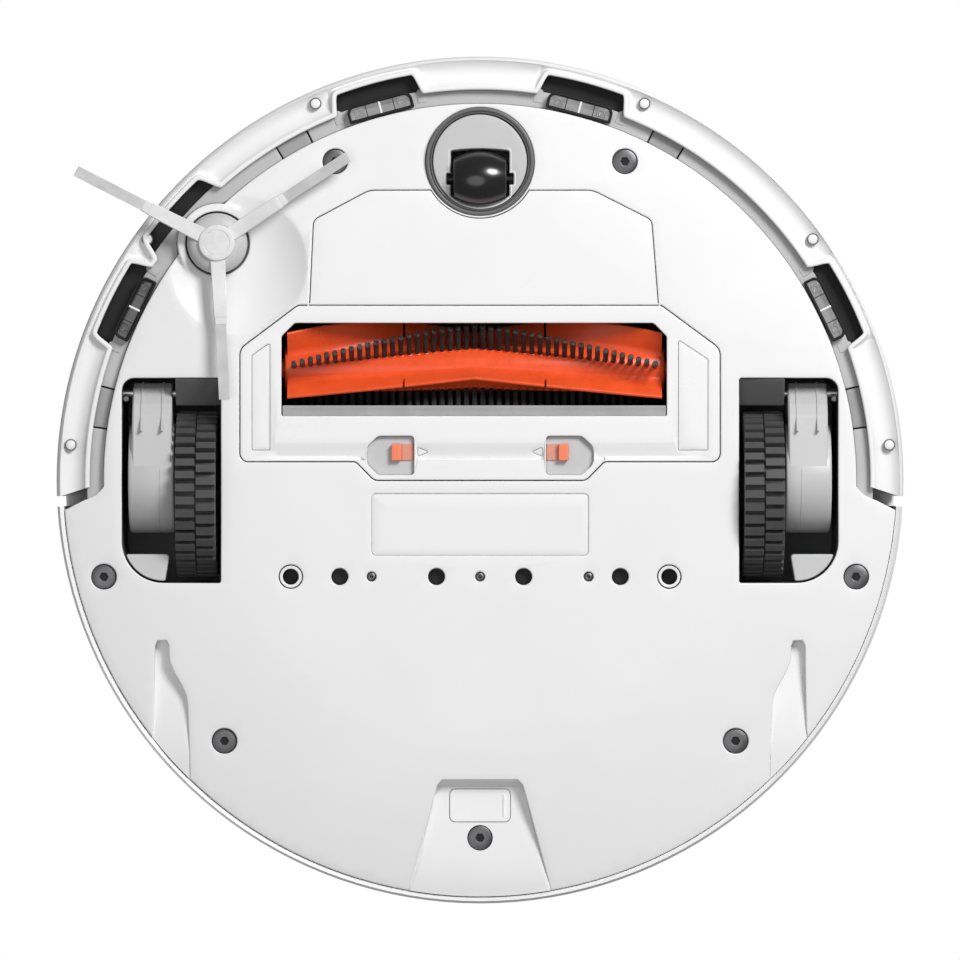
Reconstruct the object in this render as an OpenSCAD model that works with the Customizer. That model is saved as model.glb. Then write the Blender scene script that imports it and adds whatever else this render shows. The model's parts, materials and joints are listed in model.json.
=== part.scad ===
// Round laser-guided robot vacuum with a cross-wise main brush, one side brush,
// two sprung drive wheels, a front caster, a sprung bumper and a lidded dust bin.
// Frame: millimetres, origin on the floor under the centre of the disc, +Y forward, +Z up.

/* [Body] */
// Outer diameter of the robot
body_d = 345; // [345:1:355]
// Height of the deck above the floor
deck_z = 79; // [79:0.5:82]
// Height of the turret's top above the floor
top_z = 96; // [96:1:104]
// Height of the flat middle of the base plate above the floor
ground_gap = 9; // [8.5:0.1:9.2]
// Thickness of the base plate
plate_t = 2.2; // [1.8:0.1:2.4]
// How far the bumper can be pushed in
bumper_travel = 4; // [2:0.5:4]

/* [Drive wheels] */
// Diameter of a tyre over its lugs
tyre_d = 68; // [66:0.5:68]
// Width of a tyre
tyre_w = 16.6; // [14:0.2:16.6]
// Lugs round each of a tyre's two columns
lug_count = 24; // [16:1:30]
// Height of a lug
lug_h = 2.4; // [1.5:0.1:3]

/* [Main brush] */
// Diameter over the bristle tips
roller_d = 42; // [38:0.5:42]
// Rows of bristles, with as many rubber blades between them
roller_rows = 3; // [2:1:4]
// Angle that a row leads through from the ends of the brush to its middle
roller_twist = 50; // [30:5:90]

/* [Side brush] */
// Reach of a bristle bundle from the hub's axis
side_reach = 64; // [56:1:64]
// Number of arms
side_arms = 3; // [3:1:5]

/* [Small parts] */
// Radius of a housing screw's head
screw_r = 4.9; // [4:0.1:5]
// Travel of the two deck buttons
button_travel = 0.8; // [0.5:0.1:1]
// Radial running clearance of shafts in their bores
run_gap = 0.05; // [0.03:0.01:0.08]

/* [Hidden] */
$fn = 96;
eps = 0.02;

// Rings, from the rim inwards
rim_r = body_d / 2;
skirt_in_r = rim_r - 2.6;
plate_rear_r = rim_r - 2.9;
bumper_in_r = rim_r - 13.6;
plate_front_r = rim_r - 19.3;
frame_out_r = rim_r - 19.6;
frame_in_r = rim_r - 20.9;
// Half angle, from the front, of the bumper and of the gap that it moves into
bumper_end = 91.9;
shoulder_end = 93.6;

// Levels
plate_z = ground_gap;
plate_top = plate_z + plate_t;
flat_r = 115;
rim_rise = 6;
deck_under = deck_z - 5.5;
lip_z = plate_z + 3.6;
flange_z = 24;

// Drive wheel module, right side; the left one is its mirror
well = [[105.3, -41.9], [145.8, 41.5]];
well_roof = 70;
tyre_x0 = 107.3;
axle_yz = [-5.7, tyre_d / 2];
pivot_yz = [35.5, 26];
gear_x = [124.5, 143];
drum_yz = [0.8, 31];
drum_r = 22.4;
pin_r = 2;

// Main brush
brush_yz = [45.6, 25];
brush_x = [-75.2, 79.6];
tunnel_r = roller_d / 2 + 1.5;
tunnel_x = [-79.4, 83.4];
drive_x = [-90.6, -86];
drive_r = 12;
motor_yz = [6, 38];
motor_pulley_r = 5;
belt_gap = 0.3;
core_r = 5;
sleeve_r = 9;

// Caster
caster_xy = [0, 129.5];
caster_trail = 7.1;
caster_r = 11.3;
caster_w = 21.2;
caster_end_r = 8.6;

// Side brush
hub_xy = [106.9, 96.3];
dish_xy = [98.3, 87.4];
dish_r = 28.4;
collar_r = 16.3;
first_arm = 27;

// Lid, dust bin and turret
lid_r = 130;
lid_hinge_yz = [-3, deck_z - 3];
lid_hinge_w = 66;
// Rear edge of the lid beside its hinge, and how much more room than elsewhere it needs to swing
lid_rear_y = 6;
lid_rear_room = 2.4;
bin_x = [-70, 67];
bin_y = [8, 106.4];
// Front edge of the bin's shallow part, over the brush, measured from its rear wall
bin_step = 64;
turret_xy = [0, -75];
turret_r = 44;
lidar_pulley_xy = [-46, -112];
lidar_drive_r = 33;
lidar_small_r = 5.5;
fan_xy = [28, -98];
fan_z = 20.5;
fan_blades = 11;

// Screws; the heads of the big ones sit in counterbores under bosses
small_screw_r = 1.8;
counterbore_top = plate_z + 7;
big_screws = [
    [153.1, -39.4], [-153.1, -39.4], [104, -106.2], [-104, -106.2],
    [0, -145.7], [58.9, 129.6], [-58.9, 129.6]
];
small_screws = [[0, -39.3], [44.1, -39.3], [-44.1, -39.3]];
plain_holes = [[57, -39.3], [-57, -39.3], [17.7, -39.3], [-17.7, -39.3]];
bracket_holes = [[77.3, -39.3], [-77.3, -39.3]];

// Underside height of the base plate at radius r
function under_z(r) = plate_z + rim_rise * max(0, r - flat_r) / (plate_rear_r - flat_r);

// ---- helpers ----------------------------------------------------------------

// Rectangle from p to q with radii for the corners [low-low, high-low, high-high, low-high]
module corner_rect(p, q, r) {
    c = [p, [q[0], p[1]], q, [p[0], q[1]]];
    s = [[1, 1], [-1, 1], [-1, -1], [1, -1]];
    difference() {
        translate(p) square(q - p);
        for (i = [0:3]) if (r[i] > 0) difference() {
            translate([for (k = [0, 1]) c[i][k] + (s[i][k] < 0 ? -r[i] : -eps)])
                square(r[i] + eps);
            translate([for (k = [0, 1]) c[i][k] + s[i][k] * r[i]]) circle(r = r[i]);
        }
    }
}

// Same outline on both sides of the YZ plane
module both() {
    children();
    mirror([1, 0, 0]) children();
}

// Sector of a solid of revolution, from angle a0 to a1 in degrees
module sector(a0, a1) {
    rotate([0, 0, a0]) rotate_extrude(angle = a1 - a0) children();
}

// Rod along X from x0 to x1 at [y, z]
module rod_x(yz, r, x0, x1) {
    translate([x0, yz[0], yz[1]]) rotate([0, 90, 0]) cylinder(r = r, h = x1 - x0);
}

// Plate outline in YZ, extruded along X from x0 to x1
module slab_x(x0, x1) {
    translate([x0, 0, 0]) rotate([90, 0, 90]) linear_extrude(x1 - x0) children();
}

// Space filled by the base plate and everything below it
module below_plate(gap) {
    rotate_extrude() polygon([
        [0, -1], [rim_r + 5, -1], [rim_r + 5, under_z(rim_r + 5) + plate_t + gap],
        [flat_r, plate_top + gap], [0, plate_top + gap]
    ]);
}

// ---- outlines seen from below, in XY -----------------------------------------

// Right wheel well, grown by g
module well_outline(g) {
    corner_rect(well[0] - [g, g], well[1] + [g, g], [1 + g, 17 + g, 5 + g, 1 + g]);
}

// Outline of the main-brush cover, grown by g
module cover_outline(g) {
    polygon([
        [-43 - g, 0 - g], [43 + g, 0 - g], [50.4 + g, 7.6 - g], [97.4 + g, 7.6 - g],
        [97.4 + g, 53.2 + g / 2], [74 + g / 2, 70.8 + g], [-73.6 - g / 2, 70.8 + g],
        [-97.4 - g, 53.2 + g / 2], [-97.4 - g, 7.6 - g], [-50.4 - g, 7.6 - g]
    ]);
}

// Opening of the cover over the main brush
module cover_window() {
    polygon([
        [-75.9, 26], [80.7, 26], [80.7, 57.8], [74.7, 63.8], [-69.9, 63.8], [-75.9, 57.8]
    ]);
}

// Panel between the main brush and the caster, grown by g
module panel_outline(g) {
    difference() {
        polygon([
            [-72.3 - g, 70.8 - g], [69.1 + g, 70.8 - g], [67.5 + g, 105.6], [45 + g, 117.6 + g],
            [-45.8 - g, 117.6 + g], [-69.6 - g, 105.6]
        ]);
        translate(caster_xy) circle(r = 23.3 - g);
    }
}

// Bottle-shaped groove on the right, grown by g
module groove_outline(g) {
    polygon([
        [126.6 - g, -65.3 + g], [132.2 + g, -65.3 + g], [132.9 + g, -101.1], [134 + g, -112],
        [118.3 - g, -118.8], [119.4 - g, -87.6], [126.6 - g, -72.6]
    ]);
}

// Rear recess, grown by g
module rear_outline(g) {
    polygon([
        [-16.8 - g, -121.9 + g], [16.8 + g, -121.9 + g], [28.3 + g, -165.2], [-28.3 - g, -165.2]
    ]);
}

// Latch pocket on the right, grown by g
module latch_outline(g) {
    corner_rect([26.8 - g, 2 - g], [46 + g, 17.9 + g], [2, 5, 5, 2]);
}

// ---- housing -------------------------------------------------------------------

// Blind cup that stands on the base plate over a cut outline: its wall, then its room
module cup(top) {
    difference() {
        linear_extrude(top + 1.5) children(0);
        translate([0, 0, -1]) linear_extrude(top + 1) children(1);
        below_plate(-1);
        outside(plate_rear_r - 0.4);
    }
}

// Everything outside radius r
module outside(r) {
    translate([0, 0, -1]) difference() {
        cylinder(r = rim_r + 30, h = 100);
        translate([0, 0, -1]) cylinder(r = r, h = 102);
    }
}

module base_plate() {
    color("whitesmoke") difference() {
        union() {
            difference() {
                rotate_extrude() polygon([
                    [0, plate_z], [flat_r, plate_z], [plate_rear_r, plate_z + rim_rise],
                    [plate_rear_r, plate_z + rim_rise + plate_t], [flat_r, plate_top], [0, plate_top]
                ]);
                sector(90 - shoulder_end, 90 + shoulder_end)
                    translate([plate_front_r, 0]) square([40, 40]);
                translate([dish_xy[0], dish_xy[1], 0]) cylinder(r = dish_r, h = 30);
                both() translate([0, 0, -1]) linear_extrude(40) groove_outline(0);
                translate([0, 0, -1]) linear_extrude(40) rear_outline(0);
            }
            dish();
            both() cup(20) {
                groove_outline(1.4);
                groove_outline(0);
            }
            cup(18) {
                rear_outline(1.4);
                rear_outline(0);
            }
            for (p = bracket_holes) translate([p[0], p[1], plate_z]) cylinder(r = 5.2, h = 6);
            for (p = big_screws) translate([p[0], p[1], plate_z + 5.8]) cylinder(r = 6.6, h = 6);
        }
        both() translate([0, 0, -1]) linear_extrude(40) well_outline(0);
        translate([0, 0, -1]) linear_extrude(40) cover_outline(0.4);
        translate([0, 0, -1]) linear_extrude(40) panel_outline(0.4);
        translate([caster_xy[0], caster_xy[1], -1]) cylinder(r = 22.2, h = 40);
        for (p = bracket_holes) translate([p[0], p[1], -1]) cylinder(r = 3.25, h = 40);
        for (p = plain_holes) translate([p[0], p[1], -1]) cylinder(r = 3.4, h = 40);
        for (p = small_screws) {
            translate([p[0], p[1], -1]) cylinder(r = small_screw_r + 0.25, h = plate_z + 2.2);
            translate([p[0], p[1], -1]) cylinder(r = 1.2, h = 40);
        }
        for (p = big_screws) {
            translate([p[0], p[1], -1]) cylinder(r = screw_r + 0.3, h = counterbore_top + 1);
            translate([p[0], p[1], -1]) cylinder(r = 2, h = 40);
        }
    }
}

// Round recess that the side brush turns in, with the collar round its hub
module dish() {
    difference() {
        intersection() {
            union() {
                translate([dish_xy[0], dish_xy[1], plate_z + 0.2]) cylinder(r = dish_r + 1.5, h = 6.8);
                translate([hub_xy[0], hub_xy[1], plate_z + 3]) cylinder(r = collar_r, h = 4);
            }
            union() {
                cylinder(r = plate_front_r - 0.3, h = 40);
                translate([hub_xy[0], hub_xy[1], 0]) cylinder(r = collar_r, h = 40);
            }
        }
        translate([dish_xy[0], dish_xy[1], 0]) cylinder(r = dish_r, h = plate_z + 5);
        translate([hub_xy[0], hub_xy[1], 0]) cylinder(r = 13, h = 40);
    }
}

module duct_panel() {
    color("whitesmoke") translate([0, 0, plate_z]) linear_extrude(plate_t) panel_outline(0);
}

// Grey wall and ledge behind the bumper, bulged round the side brush
module front_frame() {
    color("silver") difference() {
        union() {
            sector(90 - shoulder_end + 0.4, 90 + shoulder_end - 0.4) {
                translate([frame_in_r, 0]) square([frame_out_r - frame_in_r, deck_under]);
                translate([frame_in_r, flange_z]) square([8, 2]);
            }
            translate([hub_xy[0], hub_xy[1], 0]) cylinder(r = collar_r, h = 50);
        }
        translate([hub_xy[0], hub_xy[1], -1]) cylinder(r = collar_r - 1.5, h = 49.5);
        translate([dish_xy[0], dish_xy[1], -1]) cylinder(r = 18.5, h = 90);
        translate([dish_xy[0], dish_xy[1], 0]) cylinder(r = dish_r + 1.8, h = plate_z + 7.3);
        translate([hub_xy[0], hub_xy[1], 0]) cylinder(r = collar_r + 0.3, h = plate_z + 7.3);
        both() linear_extrude(well_roof + 2) well_outline(1.6);
        below_plate(0.1);
    }
}

module rear_skirt() {
    color("whitesmoke") difference() {
        sector(90 + shoulder_end, 450 - shoulder_end) polygon([
            [skirt_in_r, plate_z + rim_rise + 1], [rim_r - 1, plate_z + rim_rise],
            [rim_r, plate_z + rim_rise + 1.6], [rim_r, deck_under], [skirt_in_r, deck_under]
        ]);
        sector(258, 282) translate([skirt_in_r - 5, 17]) square([12, 42]);
        for (a = [-16, 16]) rotate([0, 0, a]) translate([-6.1, -rim_r - 2, 21.9]) cube([12.2, 8, 8.2]);
    }
}

// Slotted panel over the blower's outlet
module exhaust_grille() {
    color("dimgray") difference() {
        sector(258.2, 281.8) translate([skirt_in_r, 17.2]) square([2.2, 41.6]);
        for (i = [-4:4], z = [22, 40])
            rotate([0, 0, i * 2.4]) translate([-1.6, -rim_r - 5, z]) cube([3.2, 12, 15]);
    }
}

module charge_contacts() {
    color("lightgray") for (a = [-16, 16]) rotate([0, 0, a])
        translate([-6, -rim_r - 0.4, 22]) cube([12, 5, 8]);
}

module bumper() {
    color("whitesmoke") difference() {
        sector(90 - bumper_end, 90 + bumper_end) polygon([
            [bumper_in_r, lip_z], [rim_r - 3, lip_z], [rim_r, lip_z + 3], [rim_r, deck_under - 0.8],
            [rim_r - 5, deck_under - 0.8], [rim_r - 5, deck_under - 2.8],
            [rim_r - 2.5, deck_under - 2.8], [rim_r - 2.5, lip_z + 4], [rim_r - 4, lip_z + 2.2],
            [bumper_in_r, lip_z + 2.2]
        ]);
        for (a = [15, 63.6], s = [-1, 1])
            sector(90 + s * a - 6.7, 90 + s * a + 6.7) translate([bumper_in_r - 5, 0])
                square([rim_r - 5.5 - bumper_in_r + 5, 24]);
        sector(90 - 56.1, 90 - 40.8) translate([bumper_in_r - 5, 0])
            square([rim_r - 4.8 - bumper_in_r + 5, 24]);
        for (a = plug_angles()) rotate([0, 0, a]) translate([0, rim_r - 5.3, 0]) cylinder(r = 2, h = 30);
    }
}

// Places of the bumper's plugs, as angles from the front
function plug_angles() = [for (a = [23.6, 54.1, 85.1], s = [-1, 1]) s * a];

module bumper_plugs() {
    color("white") for (a = plug_angles()) rotate([0, 0, a])
        translate([0, rim_r - 5.3, lip_z - 0.2]) cylinder(r = 2, h = 2);
}

module cliff_sensor_housings() {
    color("black") for (a = [15, 63.6], s = [-1, 1]) rotate([0, 0, s * a]) difference() {
        translate([-14, plate_front_r + 0.3, plate_z + 3]) cube([28, 6.6, flange_z - plate_z - 3]);
        translate([-11, plate_front_r + 1.6, plate_z + 2]) cube([22, 4, 9]);
    }
}

module cliff_sensor_windows() {
    color("gray") for (a = [15, 63.6], s = [-1, 1]) rotate([0, 0, s * a])
        translate([-10.9, plate_front_r + 1.7, plate_z + 3.3]) cube([21.8, 3.8, 2]);
}

// ---- main brush ------------------------------------------------------------------

// Cover with its opening and the two latch pockets
module brush_cover() {
    color("whitesmoke") difference() {
        translate([0, 0, plate_z]) linear_extrude(plate_t - 0.1) cover_outline(0);
        translate([0, 0, plate_z - 1]) linear_extrude(10) cover_window();
        both() translate([0, 0, plate_z - 1]) linear_extrude(10) latch_outline(0);
        rod_x(brush_yz, roller_d / 2 + 0.4, brush_x[0] - 0.4, brush_x[1] + 0.4);
    }
}

module scraper_strip() {
    color("gray") difference() {
        translate([brush_x[0] - 0.4, 26.1, plate_z + 0.2]) cube([155, 4.2, 1.8]);
        rod_x(brush_yz, roller_d / 2 + 0.4, -100, 100);
    }
}

// Latch on the right, which slides towards the middle
module latch() {
    color("salmon") {
        translate([30.5, 7.8, plate_z + 0.1]) cube([5.5, 7, 1.9]);
        translate([30.5, 9, plate_z - 0.6]) cube([1.6, 4.6, 0.7]);
    }
}

module left_latch() {
    mirror([1, 0, 0]) latch();
}

module right_latch() {
    latch();
}

// Flange of the tunnel, cut back from the belt drive
module tunnel_flange() {
    difference() {
        cover_outline(4);
        translate([drive_x[0] - 2, brush_yz[0] - drive_r - 3]) square([9.6, 2 * drive_r + 6]);
    }
}

// Half-round tunnel over the brush, its flange on the base plate and its mouth to the bin
module brush_tunnel() {
    wall = 1.5;
    mouth_y = bin_y[0] + bin_step - 0.6;
    color("gray") difference() {
        union() {
            rod_x(brush_yz, tunnel_r + wall, tunnel_x[0] - wall, tunnel_x[1] + wall);
            translate([tunnel_x[0] - wall, brush_yz[0] - tunnel_r - wall, plate_top + 0.1])
                cube([
                    tunnel_x[1] - tunnel_x[0] + 2 * wall, 2 * (tunnel_r + wall),
                    brush_yz[1] - plate_top
                ]);
            translate([0, 0, plate_top + 0.1]) linear_extrude(1.6) tunnel_flange();
            translate([-56, 60, 19.5]) cube([112, mouth_y - 60, 19.5]);
        }
        rod_x(brush_yz, tunnel_r, tunnel_x[0], tunnel_x[1]);
        translate([tunnel_x[0], brush_yz[0] - tunnel_r, 0])
            cube([tunnel_x[1] - tunnel_x[0], 2 * tunnel_r, brush_yz[1]]);
        translate([-54.5, brush_yz[0], 21]) cube([109, 40, 16.5]);
        translate([0, 0, -1]) linear_extrude(plate_top + 1.08) square(400, center = true);
        rod_x(brush_yz, 4 + run_gap, -120, 120);
        both() translate([0, 0, 5]) linear_extrude(10) latch_outline(0);
        translate([dish_xy[0], dish_xy[1], 0]) cylinder(r = dish_r + 1.8, h = plate_z + 7.3);
    }
}

// Shaft with its two end journals; the left one carries the drive pulley
module main_brush_core() {
    color("darkred") {
        rod_x(brush_yz, core_r, brush_x[0], brush_x[1]);
        rod_x(brush_yz, 4, drive_x[0], brush_x[0]);
        rod_x(brush_yz, 4, brush_x[1], tunnel_x[1] + 4);
    }
}

// Half of a row: a fin that leads through roller_twist from an end of the brush to its middle
module half_row(half_w, r0, r1) {
    mid = (brush_x[0] + brush_x[1]) / 2;
    half = (brush_x[1] - brush_x[0]) / 2;
    translate([mid, brush_yz[0], brush_yz[1]]) rotate([0, 90, 0])
        linear_extrude(half, twist = roller_twist, slices = 20, segments = 4)
            translate([r0, -half_w]) square([r1 - r0, 2 * half_w]);
}

// All the rows of one kind; mid is twice the middle of the brush, to mirror a half row about it
module rows(offset_angle, half_w, r0, r1) {
    mid = brush_x[0] + brush_x[1];
    for (i = [0:roller_rows - 1]) {
        a = (i + offset_angle) * 360 / roller_rows;
        translate([0, brush_yz[0], brush_yz[1]]) rotate([a, 0, 0])
            translate([0, -brush_yz[0], -brush_yz[1]]) {
                half_row(half_w, r0, r1);
                translate([mid, 0, 0]) mirror([1, 0, 0]) half_row(half_w, r0, r1);
            }
    }
}

module main_brush_blades() {
    color("orangered") {
        difference() {
            rod_x(brush_yz, sleeve_r, brush_x[0] + 1, brush_x[1] - 1);
            rod_x(brush_yz, core_r, brush_x[0] - 1, brush_x[1] + 1);
        }
        rows(0, 1.1, sleeve_r - 1, roller_d / 2 - 1.5);
    }
}

module main_brush_bristles() {
    color("black") rows(0.5, 0.8, sleeve_r + 0.05, roller_d / 2);
}

// End bushes, set in the tunnel's end walls
module main_brush_bearings() {
    color("dimgray") for (x = [tunnel_x[0] + 0.1, tunnel_x[1] - 2.1]) difference() {
        rod_x(brush_yz, 9, x, x + 2);
        rod_x(brush_yz, 4 + run_gap, x - 1, x + 4);
    }
}

module brush_drive_pulley() {
    color("silver") difference() {
        rod_x(brush_yz, drive_r + 1.5, drive_x[0] - 1, drive_x[1] + 1);
        difference() {
            rod_x(brush_yz, 30, drive_x[0], drive_x[1]);
            rod_x(brush_yz, drive_r, drive_x[0] - 1, drive_x[1] + 1);
        }
        rod_x(brush_yz, 4, -120, -60);
    }
}

module brush_motor_pulley() {
    color("goldenrod") difference() {
        rod_x(motor_yz, motor_pulley_r + 1.5, drive_x[0] - 1, drive_x[1] + 1);
        difference() {
            rod_x(motor_yz, 20, drive_x[0], drive_x[1]);
            rod_x(motor_yz, motor_pulley_r, drive_x[0] - 1, drive_x[1] + 1);
        }
        rod_x(motor_yz, 1.5, -120, -60);
    }
}

module brush_motor() {
    color("silver") difference() {
        rod_x(motor_yz, 13.5, -82, -36);
        rod_x(motor_yz, 1.5 + run_gap, -100, -60);
    }
}

// Flat loop round a big and a small pulley, from their centres and radii
module belt_loop(c0, r0, c1, r1, t, h) {
    linear_extrude(h) difference() {
        hull() {
            translate(c0) circle(r = r0 + belt_gap + t, $fn = 48);
            translate(c1) circle(r = r1 + belt_gap + t, $fn = 48);
        }
        hull() {
            translate(c0) circle(r = r0 + belt_gap, $fn = 48);
            translate(c1) circle(r = r1 + belt_gap, $fn = 48);
        }
    }
}

module brush_belt() {
    color("black") translate([drive_x[0] + 0.4, 0, 0]) rotate([90, 0, 90])
        belt_loop(brush_yz, drive_r, motor_yz, motor_pulley_r, 0.9, 3.8);
}

// ---- caster -----------------------------------------------------------------------

module at_caster(z) {
    translate([caster_xy[0], caster_xy[1], z]) children();
}

module caster_socket() {
    color("dimgray") difference() {
        at_caster(plate_z - 0.3) cylinder(r = 21.9, h = 23.3);
        at_caster(0) cylinder(r = 19.5, h = 30);
        at_caster(0) cylinder(r = 4 + run_gap, h = 60);
    }
}

module caster_swivel() {
    axle_y = -caster_trail;
    color("lightgray") difference() {
        union() {
            at_caster(plate_z + 0.2) cylinder(r = 19.2, h = 20);
            at_caster(plate_z + 19) cylinder(r = 4, h = 14);
        }
        at_caster(0) translate([-11.9, -20.4, -1]) cube([23.8, 24.8, 26.5]);
        at_caster(0) translate([-13.6, axle_y - 2.2, -1]) cube([27.2, 4.4, caster_r + 1]);
        at_caster(caster_r) translate([-13.6, axle_y, 0]) rotate([0, 90, 0])
            cylinder(r = 2.2, h = 27.2);
    }
}

// Barrel wheel, thinner at its ends, with an axle bore
module caster_wheel() {
    sag = caster_r - caster_end_r;
    barrel_r = (pow(caster_w / 2, 2) + sag * sag) / (2 * sag);
    color("black") at_caster(caster_r) translate([0, -caster_trail, 0]) rotate([0, 90, 0])
        rotate_extrude() intersection() {
            translate([caster_r - barrel_r, 0]) circle(r = barrel_r, $fn = 200);
            translate([2, -caster_w / 2]) square([caster_r, caster_w]);
        }
}

module caster_axle() {
    color("silver") at_caster(caster_r) translate([-13.5, -caster_trail, 0]) rotate([0, 90, 0])
        cylinder(r = 2, h = 27);
}

// ---- side brush --------------------------------------------------------------------

module at_hub(z) {
    translate([hub_xy[0], hub_xy[1], z]) children();
}

module side_brush_hub() {
    color("whitesmoke") {
        at_hub(5.2) cylinder(r1 = 7.3, r2 = 8.6, h = 2);
        at_hub(7.2) cylinder(r = 8.6, h = 5.8);
        at_hub(13) cylinder(r = 3, h = 7);
    }
}

// One arm as a bent strip: side outline in the radial plane, then its width
module strip(points, w) {
    rotate([90, 0, 0]) translate([0, 0, -w / 2]) linear_extrude(w) polygon(points);
}

module side_brush_arms() {
    color("white") for (i = [0:side_arms - 1]) at_hub(0)
        rotate([0, 0, first_arm + i * 360 / side_arms]) difference() {
            strip([[7, 6], [13, 6], [30, 3.2], [30, 4.8], [14, 8], [7, 8]], 5.6);
            cylinder(r = 8.6, h = 20);
        }
}

module side_brush_bristles() {
    color("silver") for (i = [0:side_arms - 1]) at_hub(0)
        rotate([0, 0, first_arm + i * 360 / side_arms])
            strip([[30, 3.4], [42, 2.2], [side_reach, 1.1], [side_reach, 1.9], [42, 3.2], [30, 4.6]], 4.4);
}

module side_brush_motor() {
    color("silver") difference() {
        union() {
            at_hub(18.5) cylinder(r = 14, h = 14);
            translate([dish_xy[0], dish_xy[1], 18.5]) cylinder(r = 12, h = 30);
        }
        at_hub(0) cylinder(r = 3 + run_gap, h = 24);
    }
}

// ---- drive wheels, right side; the left ones are mirrored ---------------------------

// Open-bottomed box that hangs the wheel module in its well
module wheel_frame() {
    color("dimgray") difference() {
        translate([0, 0, plate_z + 1]) linear_extrude(well_roof + 1.5 - plate_z - 1) well_outline(1.2);
        translate([0, 0, -1]) linear_extrude(well_roof + 1) well_outline(0);
        below_plate(0.1);
    }
    color("dimgray") difference() {
        rod_x(pivot_yz, 5, well[0][0] - 0.1, tyre_x0 + 14);
        rod_x(pivot_yz, pin_r, 0, 200);
        translate([tyre_x0 - 1, -30, -1]) cube([12, 61, 90]);
    }
}

// Gear housing: a drum behind and an arm forward to the pivot
module gearbox() {
    color("lightgray") difference() {
        union() {
            rod_x(drum_yz, drum_r, gear_x[0], gear_x[1]);
            slab_x(gear_x[0] + 1, gear_x[1] - 1.5) polygon([
                [2, 8.7], [26, 12], [37.5, 21.4], [40.3, 26], [37, 30.8], [18, 46], [4, 53.2]
            ]);
        }
        rod_x(pivot_yz, pin_r + run_gap, 0, 200);
        rod_x(axle_yz, 3 + run_gap, 0, gear_x[0] + 12);
    }
}

module rim() {
    r = tyre_d / 2 - lug_h - 4.6;
    color("dimgray") difference() {
        rod_x(axle_yz, r, tyre_x0 + 0.6, tyre_x0 + tyre_w - 0.6);
        difference() {
            rod_x(axle_yz, r - 3, tyre_x0 - 1, tyre_x0 + tyre_w - 8);
            rod_x(axle_yz, 7, 0, 200);
        }
        rod_x(axle_yz, 3, 0, 200);
        for (a = [0:60:300]) translate([0, axle_yz[0], axle_yz[1]]) rotate([a, 0, 0])
            rod_x([(r + 4) / 2, 0], 4.5, 0, 200);
    }
}

// Rubber tyre: a band with two columns of lugs, half a pitch apart
module tyre() {
    base_r = tyre_d / 2 - lug_h;
    pitch = 360 / lug_count;
    lug_w = PI * tyre_d / lug_count / 2;
    column = tyre_w / 2 - 0.5;
    color("#262626") {
        difference() {
            rod_x(axle_yz, base_r, tyre_x0, tyre_x0 + tyre_w);
            rod_x(axle_yz, base_r - 4.6, tyre_x0 - 1, tyre_x0 + tyre_w + 1);
        }
        for (side = [0, 1], i = [0:lug_count - 1])
            translate([tyre_x0 + 0.3 + side * (column + 0.4), axle_yz[0], axle_yz[1]])
                rotate([(i + side / 2) * pitch, 0, 0])
                    translate([0, -lug_w / 2, base_r - 0.5]) cube([column, lug_w, lug_h + 0.4]);
    }
}

module axle() {
    color("silver") rod_x(axle_yz, 3, tyre_x0 + 0.6, gear_x[0] + 11.5);
}

module left_wheel_frame() { mirror([1, 0, 0]) wheel_frame(); }
module right_wheel_frame() { wheel_frame(); }
module left_gearbox() { mirror([1, 0, 0]) gearbox(); }
module right_gearbox() { gearbox(); }
module left_rim() { mirror([1, 0, 0]) rim(); }
module right_rim() { rim(); }
module left_tyre() { mirror([1, 0, 0]) tyre(); }
module right_tyre() { tyre(); }
module left_axle() { mirror([1, 0, 0]) axle(); }
module right_axle() { axle(); }

module wheel_pivot_pins() {
    color("silver") both() rod_x(pivot_yz, pin_r, well[0][0], well[1][0]);
}

// Coils round the pivot pins, between the gear case and the outer wall
module suspension_springs() {
    color("silver") both() difference() {
        for (i = [0:1]) translate([tyre_x0 + 14.8 + i * 1.1, pivot_yz[0], pivot_yz[1]])
            rotate([0, 90, 0]) rotate_extrude() translate([3.4, 0]) circle(r = 0.5, $fn = 16);
    }
}

// ---- top ---------------------------------------------------------------------------

// Lid plate seen from above, grown by g
module lid_outline(g) {
    intersection() {
        circle(r = lid_r + g);
        union() {
            translate([-200, lid_rear_y - lid_rear_room * g]) square([400, 200]);
            translate([-lid_hinge_w - g, lid_hinge_yz[0] - g]) square([2 * lid_hinge_w + 2 * g, 20]);
        }
    }
}

module bin_outline(g) {
    corner_rect(
        [bin_x[0] - g, bin_y[0] - g], [bin_x[1] + g, bin_y[1] + g], [3 + g, 3 + g, 12 + g, 12 + g]
    );
}

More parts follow.
